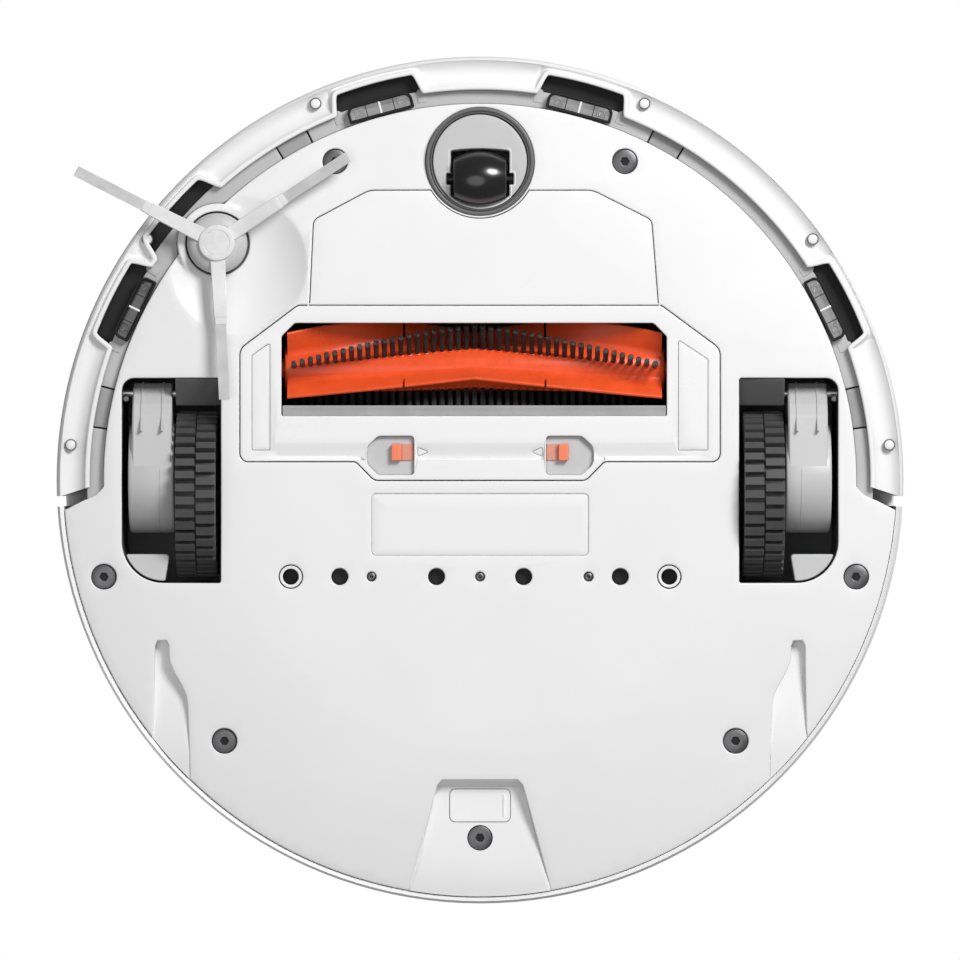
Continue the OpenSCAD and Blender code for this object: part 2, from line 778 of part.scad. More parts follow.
module top_cover() {
    color("whitesmoke") difference() {
        union() {
            rotate_extrude() polygon([
                [0, deck_under], [rim_r - 1.5, deck_under], [rim_r - 0.5, deck_under + 1.2],
                [rim_r - 1.6, deck_z - 1.6], [rim_r - 4.5, deck_z], [0, deck_z]
            ]);
            translate([-lid_hinge_w - 9, -9, deck_under - 3.5]) cube([2 * lid_hinge_w + 18, 12.4, 4]);
        }
        translate([0, 0, deck_z - 3.8]) linear_extrude(10) lid_outline(0.4);
        rod_x(lid_hinge_yz, 3.4, -lid_hinge_w - 0.4, lid_hinge_w + 0.4);
        translate([-lid_hinge_w - 0.4, lid_hinge_yz[0] - 3.2, lid_hinge_yz[1] + 1.5])
            cube([2 * lid_hinge_w + 0.8, 3, 5]);
        rod_x(lid_hinge_yz, 1.5 + run_gap, -lid_hinge_w - 7.5, lid_hinge_w + 7.5);
        translate([0, 0, deck_under - 10]) linear_extrude(30) bin_outline(0.4);
        translate([turret_xy[0], turret_xy[1], 0]) cylinder(r = 37, h = 200);
        for (x = [-12, 12]) translate([x, -19, 0]) cylinder(r = 6.3, h = 200);
        translate([0, lid_r + 4, deck_z - 2.4]) cylinder(r = 11, h = 10);
    }
}

module lid() {
    color("white") difference() {
        union() {
            translate([0, 0, deck_z - 3.5]) linear_extrude(3.5) lid_outline(0);
            rod_x(lid_hinge_yz, 3, -lid_hinge_w, lid_hinge_w);
            rod_x(lid_hinge_yz, 1.5, -lid_hinge_w - 7, lid_hinge_w + 7);
        }
        translate([0, lid_r, deck_z - 5]) cylinder(r = 12, h = 3);
    }
}

module deck_button() {
    translate([0, 0, deck_under - 1.3]) cylinder(r = 7.2, h = 1.1);
    translate([0, 0, deck_under - 1]) cylinder(r = 6, h = 7);
}

module power_button() {
    color("lightgray") translate([12, -19, 0]) deck_button();
}

module home_button() {
    color("lightgray") translate([-12, -19, 0]) deck_button();
}

module at_turret(z) {
    translate([turret_xy[0], turret_xy[1], z]) children();
}

// Ring on the deck with posts that carry the cap
module turret_housing() {
    color("whitesmoke") {
        difference() {
            at_turret(deck_z) cylinder(r1 = turret_r, r2 = turret_r - 1, h = 3.5);
            at_turret(0) cylinder(r = 37, h = 200);
        }
        for (i = [0:5]) at_turret(deck_z + 3.4) rotate([0, 0, 30 + i * 60])
            translate([38.5, -4, 0]) cube([3, 8, top_z - deck_z - 6.4]);
    }
}

module turret_cap() {
    color("silver") at_turret(top_z - 3) difference() {
        rotate_extrude() polygon([
            [0, 0], [turret_r - 1, 0], [turret_r - 1, 1.8], [turret_r - 2.4, 3], [0, 3]
        ]);
        translate([0, 0, -1]) cylinder(r = 30, h = 1.6);
    }
}

// ---- inside -------------------------------------------------------------------------

module lidar_base() {
    color("dimgray") difference() {
        union() {
            at_turret(64) cylinder(r = 40, h = 2.4);
            translate([lidar_pulley_xy[0], lidar_pulley_xy[1], 64]) cylinder(r = 20, h = 2.4);
            at_turret(66) cylinder(r = 8, h = 6);
        }
        translate([lidar_pulley_xy[0], lidar_pulley_xy[1], 0]) cylinder(r = 1.5 + run_gap, h = 100);
    }
}

// Turning head with its belt groove and two windows
module lidar_rotor() {
    color("#333333") difference() {
        union() {
            at_turret(68.5) cylinder(r = lidar_drive_r, h = 4.5);
            at_turret(73) cylinder(r = 34.5, h = 2);
            at_turret(75) cylinder(r = 34, h = top_z - 79.5);
        }
        at_turret(0) cylinder(r = 8 + run_gap, h = 72.2);
        at_turret(76) cylinder(r = 31, h = top_z - 82.5);
        for (s = [-1, 1]) at_turret(deck_z + 6) translate([s * 14, 34, 0]) rotate([90, 0, 0])
            cylinder(r = 3.4, h = 6);
    }
}

module lidar_motor_pulley() {
    color("goldenrod") translate([lidar_pulley_xy[0], lidar_pulley_xy[1], 0]) {
        translate([0, 0, 68.5]) cylinder(r = lidar_small_r, h = 4.5);
        translate([0, 0, 58]) cylinder(r = 1.5, h = 11);
    }
}

module lidar_belt() {
    color("black") translate([0, 0, 69.2])
        belt_loop(turret_xy, lidar_drive_r, lidar_pulley_xy, lidar_small_r, 0.9, 2.6);
}

// Closed bin: a deep part ahead of the brush, and a shallow part over it
module bin_body(g) {
    translate([0, 0, 55 + g]) linear_extrude(deck_under - 0.4 - 55 - 2 * g) bin_outline(-g);
    translate([0, 0, 14 + g]) linear_extrude(42) intersection() {
        bin_outline(-g);
        translate([-200, bin_y[0] + bin_step + g]) square([400, 100]);
    }
}

module dust_bin() {
    color("slategray") difference() {
        bin_body(0);
        bin_body(1.8);
        translate([-53, bin_y[0] + bin_step - 4, 22]) cube([106, 20, 14.5]);
        translate([10, bin_y[0] - 5, 59]) cube([48, 12, 9]);
    }
}

// Pleated filter in a frame, behind the bin's outlet
module dust_bin_filter() {
    color("white") difference() {
        translate([6, bin_y[0] + 2, 57]) cube([54, 9, 12.6]);
        for (i = [0:7]) translate([9.4 + i * 6, bin_y[0] + 3.5, 59]) cube([4.6, 20, 9]);
    }
}

// Scroll of the suction fan, with its outlet towards the grille
module blower_housing() {
    color("#444444") difference() {
        union() {
            translate([fan_xy[0], fan_xy[1], fan_z]) cylinder(r = 32, h = 32);
            translate([fan_xy[0], -150, fan_z + 6]) cube([32, 52, 26]);
        }
        translate([fan_xy[0], fan_xy[1], fan_z + 2]) cylinder(r = 29.8, h = 28);
        translate([fan_xy[0] + 2, -160, fan_z + 8]) cube([27.8, 62, 22]);
        translate([fan_xy[0], fan_xy[1], fan_z + 16]) cylinder(r = 14, h = 40);
    }
}

module fan_impeller() {
    color("white") translate([fan_xy[0], fan_xy[1], fan_z]) {
        translate([0, 0, 4]) cylinder(r = 26, h = 2);
        translate([0, 0, 5.9]) cylinder(r = 7, h = 18);
        for (i = [0:fan_blades - 1]) rotate([0, 0, i * 360 / fan_blades])
            translate([6, -0.6, 5]) cube([19, 1.2, 16]);
    }
}

// Eight cells in two layers inside a sleeve
module battery_pack() {
    color("cornflowerblue") difference() {
        translate([-67, -58, 14]) cube([134, 42, 38]);
        for (s = [-1, 1], y = [-47.5, -26.5], z = [24, 42])
            rod_x([y, z], 8.6, min(s * 66, s * 68), max(s * 66, s * 68));
    }
}

module mainboard() {
    color("seagreen") {
        translate([-96, -128, 30]) cube([84, 60, 1.6]);
        for (i = [0:2]) translate([-86 + i * 24, -112, 31.6]) cube([16, 16, 1.8]);
        translate([-90, -84, 31.6]) cube([60, 6, 8]);
    }
}

// Screw with its head from z0 up, head_t thick, and its thread to z1
module screw_at(p, r, z0, head_t, z1) {
    translate([p[0], p[1], 0]) difference() {
        union() {
            translate([0, 0, z0]) cylinder(r = r, h = head_t);
            translate([0, 0, z0 + head_t / 2]) cylinder(r = r * 0.38, h = z1 - z0 - head_t / 2);
        }
        translate([0, 0, z0 - head_t / 2]) cylinder(r = r * 0.4, h = head_t, $fn = 6);
    }
}

module base_screws() {
    color("dimgray") {
        for (p = big_screws) screw_at(p, screw_r, counterbore_top - 2.1, 2, counterbore_top + 5);
        for (p = small_screws) screw_at(p, small_screw_r, plate_z + 0.2, 0.9, plate_z + 5);
    }
}

// ---- output ---------------------------------------------------------------------------

base_plate();
duct_panel();
brush_cover();
scraper_strip();
left_latch();
right_latch();
brush_tunnel();
main_brush_core();
main_brush_blades();
main_brush_bristles();
main_brush_bearings();
brush_motor();
brush_motor_pulley();
brush_drive_pulley();
brush_belt();
caster_socket();
caster_swivel();
caster_wheel();
caster_axle();
side_brush_hub();
side_brush_arms();
side_brush_bristles();
side_brush_motor();
left_wheel_frame();
right_wheel_frame();
left_gearbox();
right_gearbox();
left_rim();
right_rim();
left_tyre();
right_tyre();
left_axle();
right_axle();
wheel_pivot_pins();
suspension_springs();
front_frame();
cliff_sensor_housings();
cliff_sensor_windows();
bumper();
bumper_plugs();
rear_skirt();
exhaust_grille();
charge_contacts();
top_cover();
lid();
power_button();
home_button();
turret_housing();
turret_cap();
lidar_base();
lidar_rotor();
lidar_motor_pulley();
lidar_belt();
dust_bin();
dust_bin_filter();
blower_housing();
fan_impeller();
battery_pack();
mainboard();
base_screws();
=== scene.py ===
"""Looks of the robot vacuum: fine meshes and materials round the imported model.

Lengths in this script are millimetres in the model's frame (+Y forward, +Z up, floor at 0),
and become metres where a mesh is made.
"""
import json
import math
import random

import bmesh
import bpy
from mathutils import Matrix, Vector
from mathutils.geometry import delaunay_2d_cdt


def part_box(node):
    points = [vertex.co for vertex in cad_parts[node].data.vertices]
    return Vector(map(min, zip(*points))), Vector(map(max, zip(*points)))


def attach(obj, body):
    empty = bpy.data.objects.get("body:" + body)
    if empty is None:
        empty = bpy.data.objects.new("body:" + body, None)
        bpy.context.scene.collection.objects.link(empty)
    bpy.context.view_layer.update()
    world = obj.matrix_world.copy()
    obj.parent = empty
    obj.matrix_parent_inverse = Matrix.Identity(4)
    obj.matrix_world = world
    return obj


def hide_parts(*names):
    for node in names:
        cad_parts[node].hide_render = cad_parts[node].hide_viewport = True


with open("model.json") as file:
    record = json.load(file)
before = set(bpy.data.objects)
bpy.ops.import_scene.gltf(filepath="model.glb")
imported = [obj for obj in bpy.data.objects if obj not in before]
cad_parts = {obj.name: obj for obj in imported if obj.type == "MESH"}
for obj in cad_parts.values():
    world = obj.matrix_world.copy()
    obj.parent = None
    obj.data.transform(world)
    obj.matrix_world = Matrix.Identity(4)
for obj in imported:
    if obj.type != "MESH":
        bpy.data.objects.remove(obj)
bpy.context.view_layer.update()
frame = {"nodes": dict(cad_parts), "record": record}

MM = 0.001
SIDES = ((1, "right"), (-1, "left"))
TAU = 2 * math.pi


def low(node, axis):
    """Lowest coordinate of a CAD node along an axis, in millimetres."""
    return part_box(node)[0][axis] / MM


def high(node, axis):
    """Highest coordinate of a CAD node along an axis, in millimetres."""
    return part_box(node)[1][axis] / MM


def middle(node, axis):
    return (low(node, axis) + high(node, axis)) / 2


# ---- driving dimensions, from the frame --------------------------------------------

RIM_R = high("bumper", 0)
PLATE_Z = low("duct_panel", 2)
PLATE_T = high("duct_panel", 2) - PLATE_Z
PLATE_R = RIM_R - 2.9
FRONT_R = RIM_R - 19.3
LIP_R = RIM_R - 13.6
FLAT_R = 104.0
RIM_RISE = 6.0
LIP_Z = low("bumper", 2)
DECK_Z = high("lid", 2)
HUB = (middle("side_brush_hub", 0), middle("side_brush_hub", 1))
HUB_ANGLE = math.degrees(math.atan2(*HUB))
DISH = (HUB[0] - 8.6, HUB[1] - 8.9)
DISH_R = 28.4
COLLAR_R = 16.3
CASTER = (middle("caster_socket", 0), middle("caster_socket", 1))
SHOULDER = 93.6
SENSOR_ANGLES = (15.0, 63.6)


# ---- mesh helpers ---------------------------------------------------------------------

def piece(name, verts, faces, body, slot, replaces=(), smooth=True, angle=40.0, finish=None):
    """A mesh object from millimetre vertices, riding on a body."""
    mesh = bpy.data.meshes.new(name)
    mesh.from_pydata([[c * MM for c in v] for v in verts], [], faces)
    mesh.validate()
    mesh.update()
    thing = bpy.data.objects.new(name, mesh)
    bpy.context.scene.collection.objects.link(thing)
    finish_piece(thing, body, slot, replaces, smooth, angle, finish)
    return thing


def finish_piece(thing, body, slot, replaces=(), smooth=True, angle=40.0, finish=None):
    """Material, shading, body and slot of a piece; finish names a variant of the slot's material."""
    if smooth:
        for polygon in thing.data.polygons:
            polygon.use_smooth = True
        thing.data.set_sharp_from_angle(angle=math.radians(angle))
    thing.data.materials.append(material(finish or slot))
    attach(thing, body)
    if replaces:
        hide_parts(*replaces)


def polar(radius, degrees):
    """Point at a radius and an angle from the front, positive towards +X."""
    a = math.radians(degrees)
    return (radius * math.sin(a), radius * math.cos(a))


def arc(centre, radius, start, end, step=2.0):
    """Points along an arc, angles in degrees from +X, ends included."""
    count = max(2, int(abs(end - start) / step) + 1)
    turns = [math.radians(start + (end - start) * i / (count - 1)) for i in range(count)]
    return [(centre[0] + radius * math.cos(a), centre[1] + radius * math.sin(a)) for a in turns]


def rounded(points, radii, steps=6):
    """Closed outline through points, its corners rounded with the given radii."""
    out = []
    count = len(points)
    for i, p in enumerate(points):
        radius = radii[i] if isinstance(radii, (list, tuple)) else radii
        p = Vector(p)
        to_prev = (Vector(points[i - 1]) - p)
        to_next = (Vector(points[(i + 1) % count]) - p)
        reach = min(to_prev.length, to_next.length) * 0.49
        to_prev.normalize()
        to_next.normalize()
        half = to_prev.angle(to_next) / 2
        if radius <= 0 or abs(half - math.pi / 2) < 0.01:
            out.append(tuple(p))
            continue
        cut = min(radius / math.tan(half), reach)
        radius = cut * math.tan(half)
        bisector = (to_prev + to_next).normalized()
        centre = p + bisector * (radius / math.sin(half))
        a = p + to_prev * cut - centre
        b = p + to_next * cut - centre
        for k in range(steps + 1):
            t = k / steps
            d = a.lerp(b, t).normalized() * radius
            out.append(tuple(centre + d))
    return out


def signed_area(loop):
    """Area of a loop, positive when it runs counter-clockwise."""
    return sum(a[0] * b[1] - b[0] * a[1] for a, b in zip(loop, loop[1:] + loop[:1])) / 2


def counter_clockwise(loop):
    return loop if signed_area(loop) > 0 else loop[::-1]


def mirrored(points):
    return [(-x, y) for x, y in reversed(points)]


def on_side(points, side):
    """Points drawn for the right side, mirrored for the left one, where side is -1."""
    return points if side > 0 else mirrored(points)


def bearing(point):
    """Angle of a point from the front, in degrees, positive towards +X."""
    return math.degrees(math.atan2(point[0], point[1]))


def offset_loop(loop, distance):
    """Loop moved to its left by distance: inwards when it runs counter-clockwise."""
    out = []
    count = len(loop)
    for i, p in enumerate(loop):
        p = Vector(p)
        before = p - Vector(loop[i - 1])
        after = Vector(loop[(i + 1) % count]) - p
        if before.length < 1e-9:
            before = after
        if after.length < 1e-9:
            after = before
        n1 = Vector((-before.y, before.x)).normalized()
        n2 = Vector((-after.y, after.x)).normalized()
        n = n1 + n2
        if n.length < 1e-6:
            n = n1
        n.normalize()
        out.append(tuple(p + n * (distance / max(n.dot(n1), 0.35))))
    return out


def inside(point, loop):
    """Whether a point is inside a closed loop."""
    x, y = point
    within = False
    ax, ay = loop[-1]
    for bx, by in loop:
        if (ay > y) != (by > y) and x < (bx - ax) * (y - ay) / (by - ay) + ax:
            within = not within
        ax, ay = bx, by
    return within


class Region:
    """Inside of an outline and outside of its holes, with boxes to test points quickly."""

    def __init__(self, outer, holes):
        self.outer = outer
        self.holes = [
            (min(p[0] for p in h), max(p[0] for p in h), min(p[1] for p in h), max(p[1] for p in h), h)
            for h in holes
        ]

    def holds(self, point):
        x, y = point
        for x0, x1, y0, y1, hole in self.holes:
            if x0 <= x <= x1 and y0 <= y <= y1 and inside(point, hole):
                return False
        return inside(point, self.outer)


def filled(outer, holes, spacing, extra=()):
    """Triangles that fill an outline with holes, on a grid of the given spacing plus extra points."""
    loops = [outer] + holes
    points, edges = [], []
    for loop in loops:
        start = len(points)
        points += [Vector(p) for p in loop]
        edges += [(start + i, start + (i + 1) % len(loop)) for i in range(len(loop))]
    if spacing:
        margin = spacing * 0.45
        room = Region(offset_loop(outer, margin), [offset_loop(h, margin) for h in holes])
        xs = [p[0] for p in outer]
        ys = [p[1] for p in outer]
        row = 0
        y = min(ys) + spacing / 2
        while y < max(ys):
            x = min(xs) + spacing * (0.5 if row % 2 else 1.0)
            while x < max(xs):
                if room.holds((x, y)):
                    points.append(Vector((x, y)))
                x += spacing
            y += spacing * 0.87
            row += 1
    if extra:
        room = Region(offset_loop(outer, 0.4), [offset_loop(hole, 0.4) for hole in holes])
        points += [Vector(p) for p in extra if room.holds(p)]
    verts, _, faces, _, _, _ = delaunay_2d_cdt(points, edges, [], 1, 1e-5)
    room = Region(outer, holes)
    kept = []
    for face in faces:
        middle_point = (sum(verts[i][0] for i in face) / 3, sum(verts[i][1] for i in face) / 3)
        if room.holds(middle_point):
            kept.append(list(face))
    return [tuple(v) for v in verts], kept


def moulded(
    outline, holes, height, edge=0.5, wall=2.0, spacing=0, steps=4, facing=-1, walls=None, extra=(),
):
    """A moulded skin: a face with rounded edges and walls round its outline and its holes.

    height(x, y) is the face's level, facing is -1 for a face seen from below and 1 from above,
    wall is how far the walls run back from the face.
    """
    outline = counter_clockwise(outline)
    holes = [h if signed_area(h) < 0 else h[::-1] for h in holes]
    loops = [outline] + holes
    back = -facing
    inner = [offset_loop(loop, edge) for loop in loops]
    flat, faces = filled(inner[0], inner[1:], spacing, extra)
    verts = [(x, y, height(x, y)) for x, y in flat]
    faces = [f if facing > 0 else f[::-1] for f in faces]
    for number, loop in enumerate(loops):
        depth = walls[number] if walls else wall
        rings = []
        for k in range(steps + 1):
            t = math.pi / 2 * k / steps
            ring = offset_loop(loop, edge * (1 - math.sin(t)))
            drop = edge * (1 - math.cos(t))
            rings.append([(x, y, height(x, y) + back * drop) for x, y in ring])
        rings.append([(x, y, height(x, y) + back * max(depth, edge + 0.05)) for x, y in loop])
        start = len(verts)
        size = len(loop)
        for ring in rings:
            verts += ring
        for k in range(len(rings) - 1):
            for i in range(size):
                a = start + k * size + i
                b = start + k * size + (i + 1) % size
                quad = [a, b, b + size, a + size]
                faces.append(quad[::-1] if facing > 0 else quad)
    return welded(verts, faces)


def welded(verts, faces, grain=1e-4):
    """The same mesh with coinciding vertices joined."""
    index, out, where = {}, [], []
    for v in verts:
        key = tuple(round(c / grain) for c in v)
        if key not in index:
            index[key] = len(out)
            out.append(v)
        where.append(index[key])
    kept = []
    for face in faces:
        loop = [where[i] for i in face]
        loop = [a for a, b in zip(loop, loop[1:] + loop[:1]) if a != b]
        if len(set(loop)) >= 3:
            kept.append(loop)
    return out, kept


def joined(*parts):
    """Several (verts, faces) as one."""
    verts, faces = [], []
    for part_verts, part_faces in parts:
        start = len(verts)
        verts += list(part_verts)
        faces += [[start + i for i in f] for f in part_faces]
    return verts, faces


def swept(rings, closed_ring=True, closed_path=False, caps=False):
    """Quads between successive rings of the same size."""
    size = len(rings[0])
    verts = [p for ring in rings for p in ring]
    faces = []
    count = len(rings)
    for k in range(count if closed_path else count - 1):
        for i in range(size if closed_ring else size - 1):
            a = k * size + i
            b = k * size + (i + 1) % size
            c = ((k + 1) % count) * size + (i + 1) % size
            d = ((k + 1) % count) * size + i
            faces.append([a, b, c, d])
    if caps:
        faces.append(list(range(size))[::-1])
        faces.append([(count - 1) * size + i for i in range(size)])
    return verts, faces


def turned(profile, centre=(0, 0), start=0.0, end=360.0, step=3.0):
    """Profile of (radius, z) turned about a vertical axis, angles in degrees from +X."""
    whole = end - start >= 359.99
    count = max(8, int((end - start) / step))
    rings = []
    for k in range(count if whole else count + 1):
        a = math.radians(start + (end - start) * k / count)
        rings.append([
            (centre[0] + r * math.cos(a), centre[1] + r * math.sin(a), z) for r, z in profile
        ])
    return swept(rings, closed_ring=False, closed_path=whole)


def turned_x(profile, yz, step=5.0):
    """Profile of (x, radius) turned about an axis along X at (y, z)."""
    count = int(360 / step)
    rings = []
    for k in range(count):
        a = math.radians(k * 360 / count)
        rings.append([
            (x, yz[0] + r * math.cos(a), yz[1] + r * math.sin(a)) for x, r in profile
        ])
    return swept(rings, closed_ring=False, closed_path=True)


def clamped(t):
    return max(0.0, min(1.0, t))


def smoothstep(t):
    t = clamped(t)
    return t * t * (3 - 2 * t)


def add_bevel(thing, width, segments=3, angle=35.0):
    bevel = thing.modifiers.new("edges", "BEVEL")
    bevel.width = width * MM
    bevel.segments = segments
    bevel.limit_method = "ANGLE"
    bevel.angle_limit = math.radians(angle)
    bevel.harden_normals = True
    for polygon in thing.data.polygons:
        polygon.use_smooth = True


# ---- materials --------------------------------------------------------------------------

class Shader:
    """A material's node tree, built with short calls."""

    def __init__(self, name):
        self.material = bpy.data.materials.new(name)
        self.material.use_nodes = True
        self.tree = self.material.node_tree
        self.bsdf = self.tree.nodes["Principled BSDF"]
        self.coords = self.node("ShaderNodeTexCoord").outputs["Object"]

    def node(self, kind, **settings):
        made = self.tree.nodes.new(kind)
        for key, value in settings.items():
            setattr(made, key, value)
        return made

    def link(self, source, target):
        self.tree.links.new(source, target)

    def set(self, **values):
        for key, value in values.items():
            self.bsdf.inputs[key.replace("_", " ")].default_value = value

    def noise(self, scale, detail=2.0, roughness=0.5, stretch=None):
        made = self.node("ShaderNodeTexNoise")
        made.inputs["Scale"].default_value = scale
        made.inputs["Detail"].default_value = detail
        made.inputs["Roughness"].default_value = roughness
        source = self.coords
        if stretch:
            mapping = self.node("ShaderNodeMapping")
            mapping.inputs["Scale"].default_value = stretch
            self.link(self.coords, mapping.inputs["Vector"])
            source = mapping.outputs["Vector"]
        self.link(source, made.inputs["Vector"])
        return made.outputs["Fac"]

    def ranged(self, value, low_out, high_out, low_in=0.3, high_in=0.7):
        made = self.node("ShaderNodeMapRange")
        made.inputs["From Min"].default_value = low_in
        made.inputs["From Max"].default_value = high_in
        made.inputs["To Min"].default_value = low_out
        made.inputs["To Max"].default_value = high_out
        self.link(value, made.inputs["Value"])
        return made.outputs["Result"]

    def mixed(self, factor, a, b, blend="MIX"):
        made = self.node("ShaderNodeMix", data_type="RGBA", blend_type=blend)
        for socket, value in ((made.inputs[0], factor), (made.inputs[6], a), (made.inputs[7], b)):
            if hasattr(value, "is_linked"):
                self.link(value, socket)
            elif isinstance(value, (int, float)):
                socket.default_value = value
            else:
                socket.default_value = (*value, 1.0)
        return made.outputs[2]

    def bumps(self, layers):
        """Chains bumps from (height, strength, distance in millimetres)."""
        normal = None
        for height, strength, distance in layers:
            made = self.node("ShaderNodeBump")
            made.inputs["Strength"].default_value = strength
            made.inputs["Distance"].default_value = distance * MM
            self.link(height, made.inputs["Height"])
            if normal:
                self.link(normal, made.inputs["Normal"])
            normal = made.outputs["Normal"]
        self.link(normal, self.bsdf.inputs["Normal"])

    def edge_wear(self, colour, lighter, amount=0.5):
        """Mixes a lighter colour in along sharp convex edges."""
        point = self.node("ShaderNodeNewGeometry").outputs["Pointiness"]
        wear = self.ranged(point, 0.0, amount, 0.52, 0.62)
        return self.mixed(wear, colour, lighter)


def scaled(colour, factor):
    return tuple(min(1.0, c * factor) for c in colour)


def moulded_plastic(slot, colour, roughness=0.35, grain=0.25, mottle=0.015, coat=0.0, specular=0.5):
    """Injection-moulded plastic: spark-eroded grain, flow marks and slightly polished edges."""
    s = Shader(slot)
    s.set(Metallic=0.0, Coat_Weight=coat, Coat_Roughness=0.12, Specular_IOR_Level=specular)
    flow = s.noise(22.0, 4.0, 0.6)
    base = s.mixed(s.ranged(flow, 0.0, 1.0), scaled(colour, 1 - mottle), scaled(colour, 1 + mottle))
    s.link(s.edge_wear(base, scaled(colour, 1.06), 0.5), s.bsdf.inputs["Base Color"])
    smudge = s.noise(60.0, 5.0, 0.65)
    s.link(s.ranged(smudge, roughness - 0.03, roughness + 0.05), s.bsdf.inputs["Roughness"])
    s.bumps([
        (s.noise(45.0, 2.0), 0.10, 0.15),
        (s.noise(420.0, 2.0, 0.5), grain, 0.02),
    ])
    return s.material


def rubber(slot, colour, roughness=0.6, grain=0.3, dust=0.05, sheen=0.1):
    """Moulded rubber: soft grain, light dust in its hollows and a faint sheen."""
    s = Shader(slot)
    s.set(Specular_IOR_Level=0.4, Sheen_Weight=sheen, Sheen_Roughness=0.4)
    cloud = s.noise(90.0, 6.0, 0.7)
    base = s.mixed(s.ranged(cloud, 0.0, 1.0), scaled(colour, 0.9), scaled(colour, 1.1))
    dusty = s.mixed(s.ranged(s.noise(300.0, 4.0, 0.8), 0.0, dust, 0.5, 0.8), base, (0.35, 0.34, 0.32))
    s.link(dusty, s.bsdf.inputs["Base Color"])
    s.link(s.ranged(cloud, roughness - 0.06, roughness + 0.08), s.bsdf.inputs["Roughness"])
    s.bumps([
        (s.noise(400.0, 3.0), 0.2, 0.1),
        (s.noise(3000.0, 2.0), grain, 0.03),
    ])
    return s.material


def metal(slot, colour, roughness=0.28, stretch=(1.0, 40.0, 40.0), grain=0.15):
    """Turned or ground metal with fine lines and a little tarnish."""
    s = Shader(slot)
    s.set(Metallic=1.0)
    lines = s.noise(90.0, 4.0, 0.7, stretch)
    tarnish = s.noise(40.0, 5.0, 0.6)
    base = s.mixed(s.ranged(tarnish, 0.0, 1.0), scaled(colour, 0.88), scaled(colour, 1.05))
    s.link(base, s.bsdf.inputs["Base Color"])
    s.link(s.ranged(lines, roughness - 0.07, roughness + 0.1), s.bsdf.inputs["Roughness"])
    s.bumps([(lines, grain, 0.05)])
    return s.material


def bristle(slot, colour, tip, roughness=0.45):
    """Nylon strands: each strand a slightly different shade, glossier along its length."""
    s = Shader(slot)
    s.set(Specular_IOR_Level=0.3, Sheen_Weight=0.1)
    shade = s.noise(120.0, 2.0, 0.5)
    s.link(s.mixed(s.ranged(shade, 0.0, 1.0), colour, tip), s.bsdf.inputs["Base Color"])
    s.link(s.ranged(s.noise(300.0, 2.0), roughness - 0.08, roughness + 0.08), s.bsdf.inputs["Roughness"])
    s.bumps([(s.noise(900.0, 1.0), 0.08, 0.02)])
    return s.material


def window_plastic(slot, colour):
    """Infrared-pass window: smoky, clear-coated and faintly mottled."""
    s = Shader(slot)
    s.set(Coat_Weight=0.7, Coat_Roughness=0.05, Specular_IOR_Level=0.6)
    cloud = s.noise(160.0, 3.0, 0.5)
    s.link(s.mixed(s.ranged(cloud, 0.0, 1.0), scaled(colour, 0.8), scaled(colour, 1.2)),
           s.bsdf.inputs["Base Color"])
    s.link(s.ranged(cloud, 0.12, 0.25), s.bsdf.inputs["Roughness"])
    s.bumps([(s.noise(120.0, 1.0), 0.05, 0.05)])
    return s.material


def fleece(slot, colour):
    """Pleated filter fleece with fine crossed fibres."""
    s = Shader(slot)
    s.set(Sheen_Weight=0.3, Roughness=0.9)
    fibres = s.noise(1500.0, 5.0, 0.8, (1.0, 8.0, 1.0))
    dust = s.noise(70.0, 4.0, 0.7)
    s.link(s.mixed(s.ranged(dust, 0.0, 0.5), colour, scaled(colour, 0.7)), s.bsdf.inputs["Base Color"])
    s.bumps([(fibres, 0.6, 0.15)])
    return s.material


def board(slot, colour):
    """Solder mask with copper tracks shining through."""
    s = Shader(slot)
    s.set(Roughness=0.35, Coat_Weight=0.3)
    brick = s.node("ShaderNodeTexBrick")
    brick.inputs["Scale"].default_value = 90.0
    brick.inputs["Mortar Size"].default_value = 0.03
    brick.inputs["Color1"].default_value = (*colour, 1.0)
    brick.inputs["Color2"].default_value = (*scaled(colour, 0.8), 1.0)
    brick.inputs["Mortar"].default_value = (*scaled(colour, 1.6), 1.0)
    s.link(s.coords, brick.inputs["Vector"])
    s.link(brick.outputs["Color"], s.bsdf.inputs["Base Color"])
    s.bumps([(brick.outputs["Fac"], 0.3, 0.05)])
    return s.material


